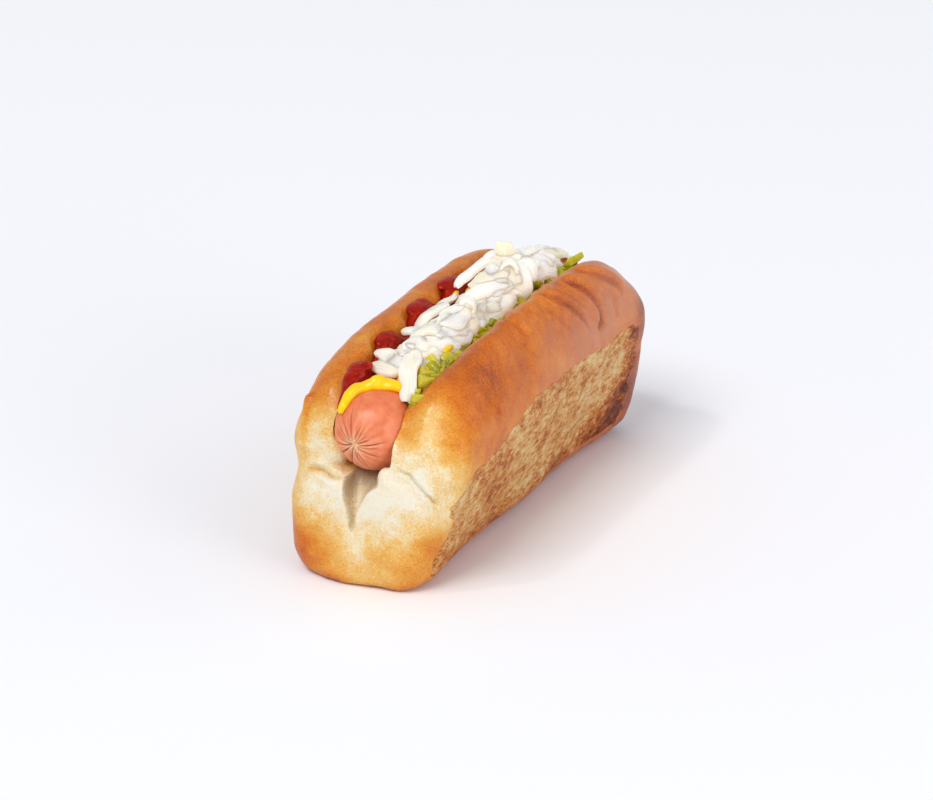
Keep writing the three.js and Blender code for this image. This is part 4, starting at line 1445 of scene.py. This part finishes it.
# %% Where the strips lie
# From, to, width, bow, and the way the strip's outside faces.
ONION_STRIPS = [
    ((-0.4, -38, 69.4), (8.2, -60.4, 60.4), 6.4, 2.6, (0.2, -0.7, 0.6)),
    ((-2, -42, 70), (9.4, -25.5, 67), 5.2, 0.6, (0.3, -0.5, 1)),
    ((0.6, -38, 66), (10.8, -27.4, 64.6), 4.4, 0.6, (0.5, -0.6, 0.8)),
    ((-10.4, -26.5, 67.6), (0, -28, 70), 4.2, 0.8, (0, -0.4, 1)),
    ((-6.4, -27, 69), (-4.2, -8, 71.4), 5, 0.8, (-0.5, -0.3, 1)),
    ((-1, -27, 69.5), (6, -14, 69.5), 6, 1, (0.4, -0.5, 1)),
    ((2, -24, 70.4), (0.4, -9, 72.4), 5, 0.8, (0.2, -0.2, 1)),
    ((-11, -41.6, 66.6), (-0.4, -46, 65.6), 5.6, 0.8, (0.1, -0.3, 1)),
    ((-9.6, -47.4, 65.2), (1.4, -50.8, 64.6), 5.4, 0.6, (0, -0.4, 1)),
    ((-8.4, -44.6, 66.8), (2.4, -47.6, 66), 4.6, 1, (0.1, -0.4, 1)),
    ((-8, 5, 71.6), (-3, 31, 77), 4.2, 0.4, (-0.3, -0.3, 1)),
    ((0, 25, 73), (0, 24, 82.2), 7, 0.5, (0.3, -1, 0.2)),
    ((5, 22, 77), (9.6, 16.6, 66), 10, 1.6, (0.7, -0.8, 0.6)),
    ((-3, 8, 70.6), (10, 11, 67.4), 6, 1, (0.2, -0.5, 1)),
    ((5.6, -7, 68.4), (9.6, 13, 67.2), 4, 0.8, (0.6, -0.2, 1)),
    ((1, 12, 72), (7, 27, 72), 5, 1, (0.4, -0.3, 1)),
    ((-3, 38, 71.4), (7, 48, 68), 7, 1.4, (0.2, -0.4, 1)),
    ((-5, 50, 67), (6, 55, 65), 6, 1, (0.1, 0, 1)),
    ((8, 30, 70), (9.4, 46, 65.5), 6, 1, (0.8, -0.2, 0.8)),
]
# Ridge of the heap, as (y, z).
ONION_RIDGE = [(-50, 64), (-41, 68.6), (-25, 69.8), (5, 70), (15, 73), (25, 76), (35, 73), (46, 69)]
ONION_RIDGE += [(57, 65), (66, 58)]
ONION_MIDDLE, ONION_HALF_WIDTH = 0.8, 7.5
# Strips rolled to rings: pixel, radius, how far round they go, and width.
ONION_CURLS = [((466, 312), 2.6, 5.2, 5), ((507, 274), 2.6, 5, 4.4)]
# More strips, drawn as they are seen and laid on the core: pixels, width, and lift.
SEEN_STRIPS = [
    ([(414, 343), (422, 336), (433, 333), (446, 338)], 4.6, 1.2),
    ([(418, 336), (434, 326), (452, 322)], 4.6, 1.2),
    ([(436, 341), (450, 334), (466, 337)], 4.6, 1),
    ([(428, 320), (443, 310), (457, 301)], 5.2, 1.2),
    ([(444, 332), (457, 324), (466, 314)], 6.4, 1.6),
    ([(458, 340), (468, 332), (476, 322)], 4.4, 0.4),
    ([(466, 303), (486, 292), (508, 282)], 6.4, 1.4),
    ([(472, 292), (488, 282), (506, 275)], 5.6, 2),
    ([(474, 316), (492, 308), (513, 298)], 6.6, 0.8),
    ([(470, 322), (479, 312), (490, 303)], 5, 0.6),
    ([(498, 262), (509, 270), (515, 286)], 7, 1.8),
    ([(512, 256), (524, 266), (529, 282)], 7, 1.4),
    ([(492, 270), (497, 281), (508, 292)], 6, 1.4),
    ([(519, 257), (538, 252), (556, 259)], 6.4, 1.2),
    ([(528, 268), (545, 263), (562, 268)], 6, 0.8),
    ([(542, 257), (555, 254), (567, 261)], 6.4, 1),
    ([(450, 348), (460, 342), (470, 334)], 4, 0.8),
    ([(384, 361), (396, 357), (410, 354)], 6, 1),
    ([(410, 352), (416, 345), (427, 342)], 4.6, 1.8),
    ([(482, 321), (496, 312), (511, 303)], 6, 1.4),
]
print("strips with a place of their own:", len(ONION_STRIPS) + len(SEEN_STRIPS) + len(ONION_CURLS))

# %% [markdown]
# A strip that is drawn as it is seen needs its place on the heap. The line
# through each of its pixels is followed until it dips under the ridge.

# %% Lay the strips
# How much narrower a strip is at its ends.
TAPER = 0.35
# A pixel's ray is followed this far before and behind the food's middle, in short steps.
RAY_REACH, RAY_STEP = 110, 0.5


def laid_strips(rng):
    strips = []
    for start, end, width, bow, out in ONION_STRIPS:
        strip = flat_strip(math.dist(start, end) + bow, width)
        strips.append(follow(strip, bowed(start, end, out, bow), [out, out], 0.1 * width, TAPER, rng))
    return strips


def heap_place(pixel, lift):
    """The heap's face at a pixel, raised by lift, and the way out of the heap there."""
    steps = np.arange(DISTANCE - RAY_REACH, DISTANCE + RAY_REACH, RAY_STEP)[:, None]
    places = np.array(camera.location) / MM + np.array(ray_through(pixel)) * steps
    off = (places[:, 0] - ONION_MIDDLE) / ONION_HALF_WIDTH
    above = places[:, 2] - curve_value(ONION_RIDGE, places[:, 1]) + 4 * off**2
    place = places[np.argmax(above < 0)] if above.min() < 0 else places[np.argmin(above)]
    out = np.array([(place[0] - ONION_MIDDLE) / ONION_HALF_WIDTH, -0.15, 1.0])
    out /= np.linalg.norm(out)
    return place + out * lift, out


def seen_strips(rng):
    strips = []
    for pixels, width, lift in SEEN_STRIPS:
        places = [heap_place(pixel, lift + 0.4) for pixel in pixels]
        spine = np.array([place for place, _ in places])
        length = np.linalg.norm(np.diff(spine, axis=0), axis=1).sum()
        outs = [out for _, out in places]
        strips.append(follow(flat_strip(length, width), spine, outs, 0.12 * width, TAPER, rng))
    return strips


FIRST_PIXEL = SEEN_STRIPS[0][0][0]
print("pixel", FIRST_PIXEL, "lies on the heap at", heap_place(FIRST_PIXEL, 0)[0].round(1))

# %% [markdown]
# Between those strips lie many more, thrown at random over the ridge of the
# heap, so that hardly any gap shows the lumpy core under them. Two narrow
# strips have rolled up to rings.

# %% Throw the loose strips
LOOSE_TAPER = 0.25
# From where, and how far along the roll they lie.
LOOSE_START, LOOSE_RUN = -40, 99


def loose_strips(shapes, count, depth, rng):
    """Strips thrown over the ridge, depth millimetres under it, mostly along the roll."""
    strips = []
    for i in range(count):
        y = LOOSE_START + LOOSE_RUN * (i + rng.random()) / count
        off = rng.uniform(-1, 1)
        height = curve_value(ONION_RIDGE, y) - 4.5 * off * off - depth - rng.uniform(0, 1)
        place = np.array((ONION_MIDDLE + off * ONION_HALF_WIDTH, y, height))
        turn = rng.gauss(0, 0.75) - 0.4 * off
        shape = rng.choice(shapes)
        reach = shape.dimensions.y / MM / 2 * rng.uniform(0.8, 1)
        out = np.array([0.9 * off, rng.uniform(-0.2, 0.2), 1])
        run = np.array([math.sin(turn), math.cos(turn), 0])
        run -= out * (run @ out) / (out @ out)
        run *= reach / np.linalg.norm(run)
        spine = bowed(place - run, place + run, out, rng.uniform(1, 2.6))
        strips.append(follow(own_copy(shape), spine, [out, out], rng.uniform(0.3, 0.9), LOOSE_TAPER, rng))
    return strips


def onion_curl(pixel, radius, sweep, width, rng):
    """A strip rolled to an almost closed ring that stands on the heap, open to the near end."""
    centre, _ = heap_place(pixel, 0.9 * radius)
    strip = flat_strip(radius * sweep, width)
    points = points_of(strip)
    angle = -0.6 + sweep * (points[:, 1] / (radius * sweep) + 0.5)
    side, axis, up = np.array([(0.88, 0.48, 0), (-0.48, 0.88, 0), (0, 0, 1)])
    outward = np.cos(angle)[:, None] * side + np.sin(angle)[:, None] * up
    placed = centre + outward * (radius + points[:, 2] * 0.7)[:, None] + points[:, 0][:, None] * axis
    move_points(strip, placed + 0.4 * wobble(placed, 4, rng))
    return mark(strip, points[:, 0], 0.6)


print("half the heap's width:", ONION_HALF_WIDTH, "mm")

# %% [markdown]
# Raw onion is white and wet, and lets light through. The shader scatters light
# far under the surface, and a faint glow of its own stands for the light that
# comes through from behind.

# %% Make the onion material
def raw_white_onion():
    """Raw white onion: wet and translucent, with fine veins along each strip."""
    onion = new_material("raw_white_onion")
    place = add(onion, "TexCoord", {}, out="Object")
    across, tint = (add(onion, "Attribute", {}, out="Fac", attribute_name=name) for name in ("vein", "tint"))
    lines = {"Vector": add(onion, "CombineXYZ", {"X": across}), "Scale": 1.6, "Detail": 2}
    vein = add(onion, "TexNoise", lines)
    cloud = add(onion, "TexNoise", {"Vector": place, "Scale": per_mm(5), "Detail": 3})
    shade = {"Fac": total(onion, -0.55, (vein, 0.9), (cloud, 0.6), (tint, 0.7))}
    flesh = add(onion, "ValToRGB", shade, stops=[(0.1, "#e7dabd"), (0.4, "#f3ebd8"), (0.8, "#f9f5ea")])
    relief = add(onion, "Bump", {"Height": vein, "Strength": 1, "Distance": 0.34 * MM})
    wet = {"Normal": relief, "Roughness": 0.15, "IOR": 1.38, "Specular IOR Level": 0.6}
    glow = {"Emission Color": colour("#fff3dc"), "Emission Strength": 0.11}
    soft_surface(onion, {"Base Color": flesh, **wet, **glow}, 1, (3.6, 3.2, 2.4))
    return onion


onion_material = raw_white_onion()
print("onion material:", onion_material.name)

# %% [markdown]
# The core is a ridge with shoulders, and with strips sunk in it, melted to one
# lumpy skin. Then all the strips are laid on it and joined to one piece.

# %% Heap the onion
# How many loose strips are sunk in the core, and how many lie on it.
ONION_SUNK, ONION_LOOSE = 40, 36
CORE_FLOOR = 60
# Shoulders of the core: their places along the roll, how far aside, how deep, and their size.
SHOULDER_PLACES = range(-36, 60, 7)
SHOULDER_SIDE, SHOULDER_DEPTH, SHOULDER_SIZE = 3.4, 6.2, (4.4, 6, 3.6)
# Length and width of the strips that are thrown.
LOOSE_SIZES = [(17, 4.2), (15, 4.8), (13, 3.8), (19, 3.6), (11, 5)]

core_line = []
for y, z in ONION_RIDGE[1:-1]:
    radius = (z - CORE_FLOOR) / 2
    core_line.append((ONION_MIDDLE, y, CORE_FLOOR + radius - 2, radius))
wide_core = [bead("onion_core_line", core_line)]
for y in SHOULDER_PLACES:
    for side in (-SHOULDER_SIDE, SHOULDER_SIDE):
        place = (ONION_MIDDLE + side, y, curve_value(ONION_RIDGE, y) - SHOULDER_DEPTH)
        wide_core.append(blob(place, SHOULDER_SIZE))
onion_rng = random.Random(77)
strip_shapes = [flat_strip(*size) for size in LOOSE_SIZES]
wide_core += loose_strips(strip_shapes, ONION_SUNK, 3, onion_rng)
onion_core = melt("onion_core", wide_core, spacing=0.45, rounds=3, lump_size=4, lump_height=0.4, seed=14)
mark(onion_core, points_of(onion_core)[:, 0], 0.4)
onion_pieces = laid_strips(onion_rng) + seen_strips(onion_rng)
onion_pieces += [onion_curl(*curl, onion_rng) for curl in ONION_CURLS]
onion_pieces += loose_strips(strip_shapes, ONION_LOOSE, 1.6, onion_rng)
choose(*onion_pieces)
bpy.ops.object.join()
onions = bpy.context.object
onions.name = "onion_strips"
choose(onions)
bpy.ops.object.shade_smooth_by_angle(angle=math.radians(50))
for piece in (onion_core, onions):
    dress(piece, onion_material)
    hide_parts("onions")
    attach(piece, "root")
remove(strip_shapes)
print("onion:", triangles(onions), "triangles")

# %% [markdown]
# ## Table and light
#
# A white table that runs out of the picture on all sides gives the clean look
# of a packshot. A large soft light from the front shapes the food, a small
# window puts highlights on what is wet, and two cards lift the right side and
# the back. A white room fills the shadows.

# %% Table and lights
TABLE_SIZE = 12
bpy.ops.mesh.primitive_plane_add(size=TABLE_SIZE)
table = bpy.context.object
table.name = "table"
paper = new_material("white_table")
surface(paper, {"Base Color": colour("#f7f7fa"), "Roughness": 0.8, "Specular IOR Level": 0.2})
dress(table, paper)


def soft_light(name, direction, distance, size, watts, tint):
    """A square softbox that looks at the food from this direction."""
    direction = Vector(direction).normalized()
    bpy.ops.object.light_add(type="AREA", location=MIDDLE_OF_FOOD + direction * distance)
    light = bpy.context.object
    light.name = name
    light.rotation_mode = "QUATERNION"
    light.rotation_quaternion = (-direction).to_track_quat("-Z", "Y")
    light.data.shape = "SQUARE"
    light.data.size = size
    light.data.energy = watts
    light.data.color = colour(tint)[:3]


# Name, direction, distance and size in metres, power in watts, and colour.
soft_light("key_softbox", (-0.08, -0.6, 0.8), 6, 2.8, 173, "#fffcf8")
soft_light("window", (-0.3, -0.42, 0.85), 3.2, 0.26, 9, "#ffffff")
soft_light("reflector_card", (0.9, -0.25, 0.25), 2.2, 1.2, 13, "#fffaf4")
soft_light("back_card", (0.75, 0.75, 0.55), 3, 1.6, 7, "#fff6f2")
world = bpy.data.worlds.new("white_room")
world.use_nodes = True
background = world.node_tree.nodes["Background"]
background.inputs["Color"].default_value = colour("#eef4fd")
background.inputs["Strength"].default_value = 0.58
bpy.context.scene.world = world
bpy.context.scene.view_settings.view_transform = "Standard"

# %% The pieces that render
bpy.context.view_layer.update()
shown = [piece.name for piece in bpy.data.objects if piece.type == "MESH" and not piece.hide_render]
print("pieces:", shown)
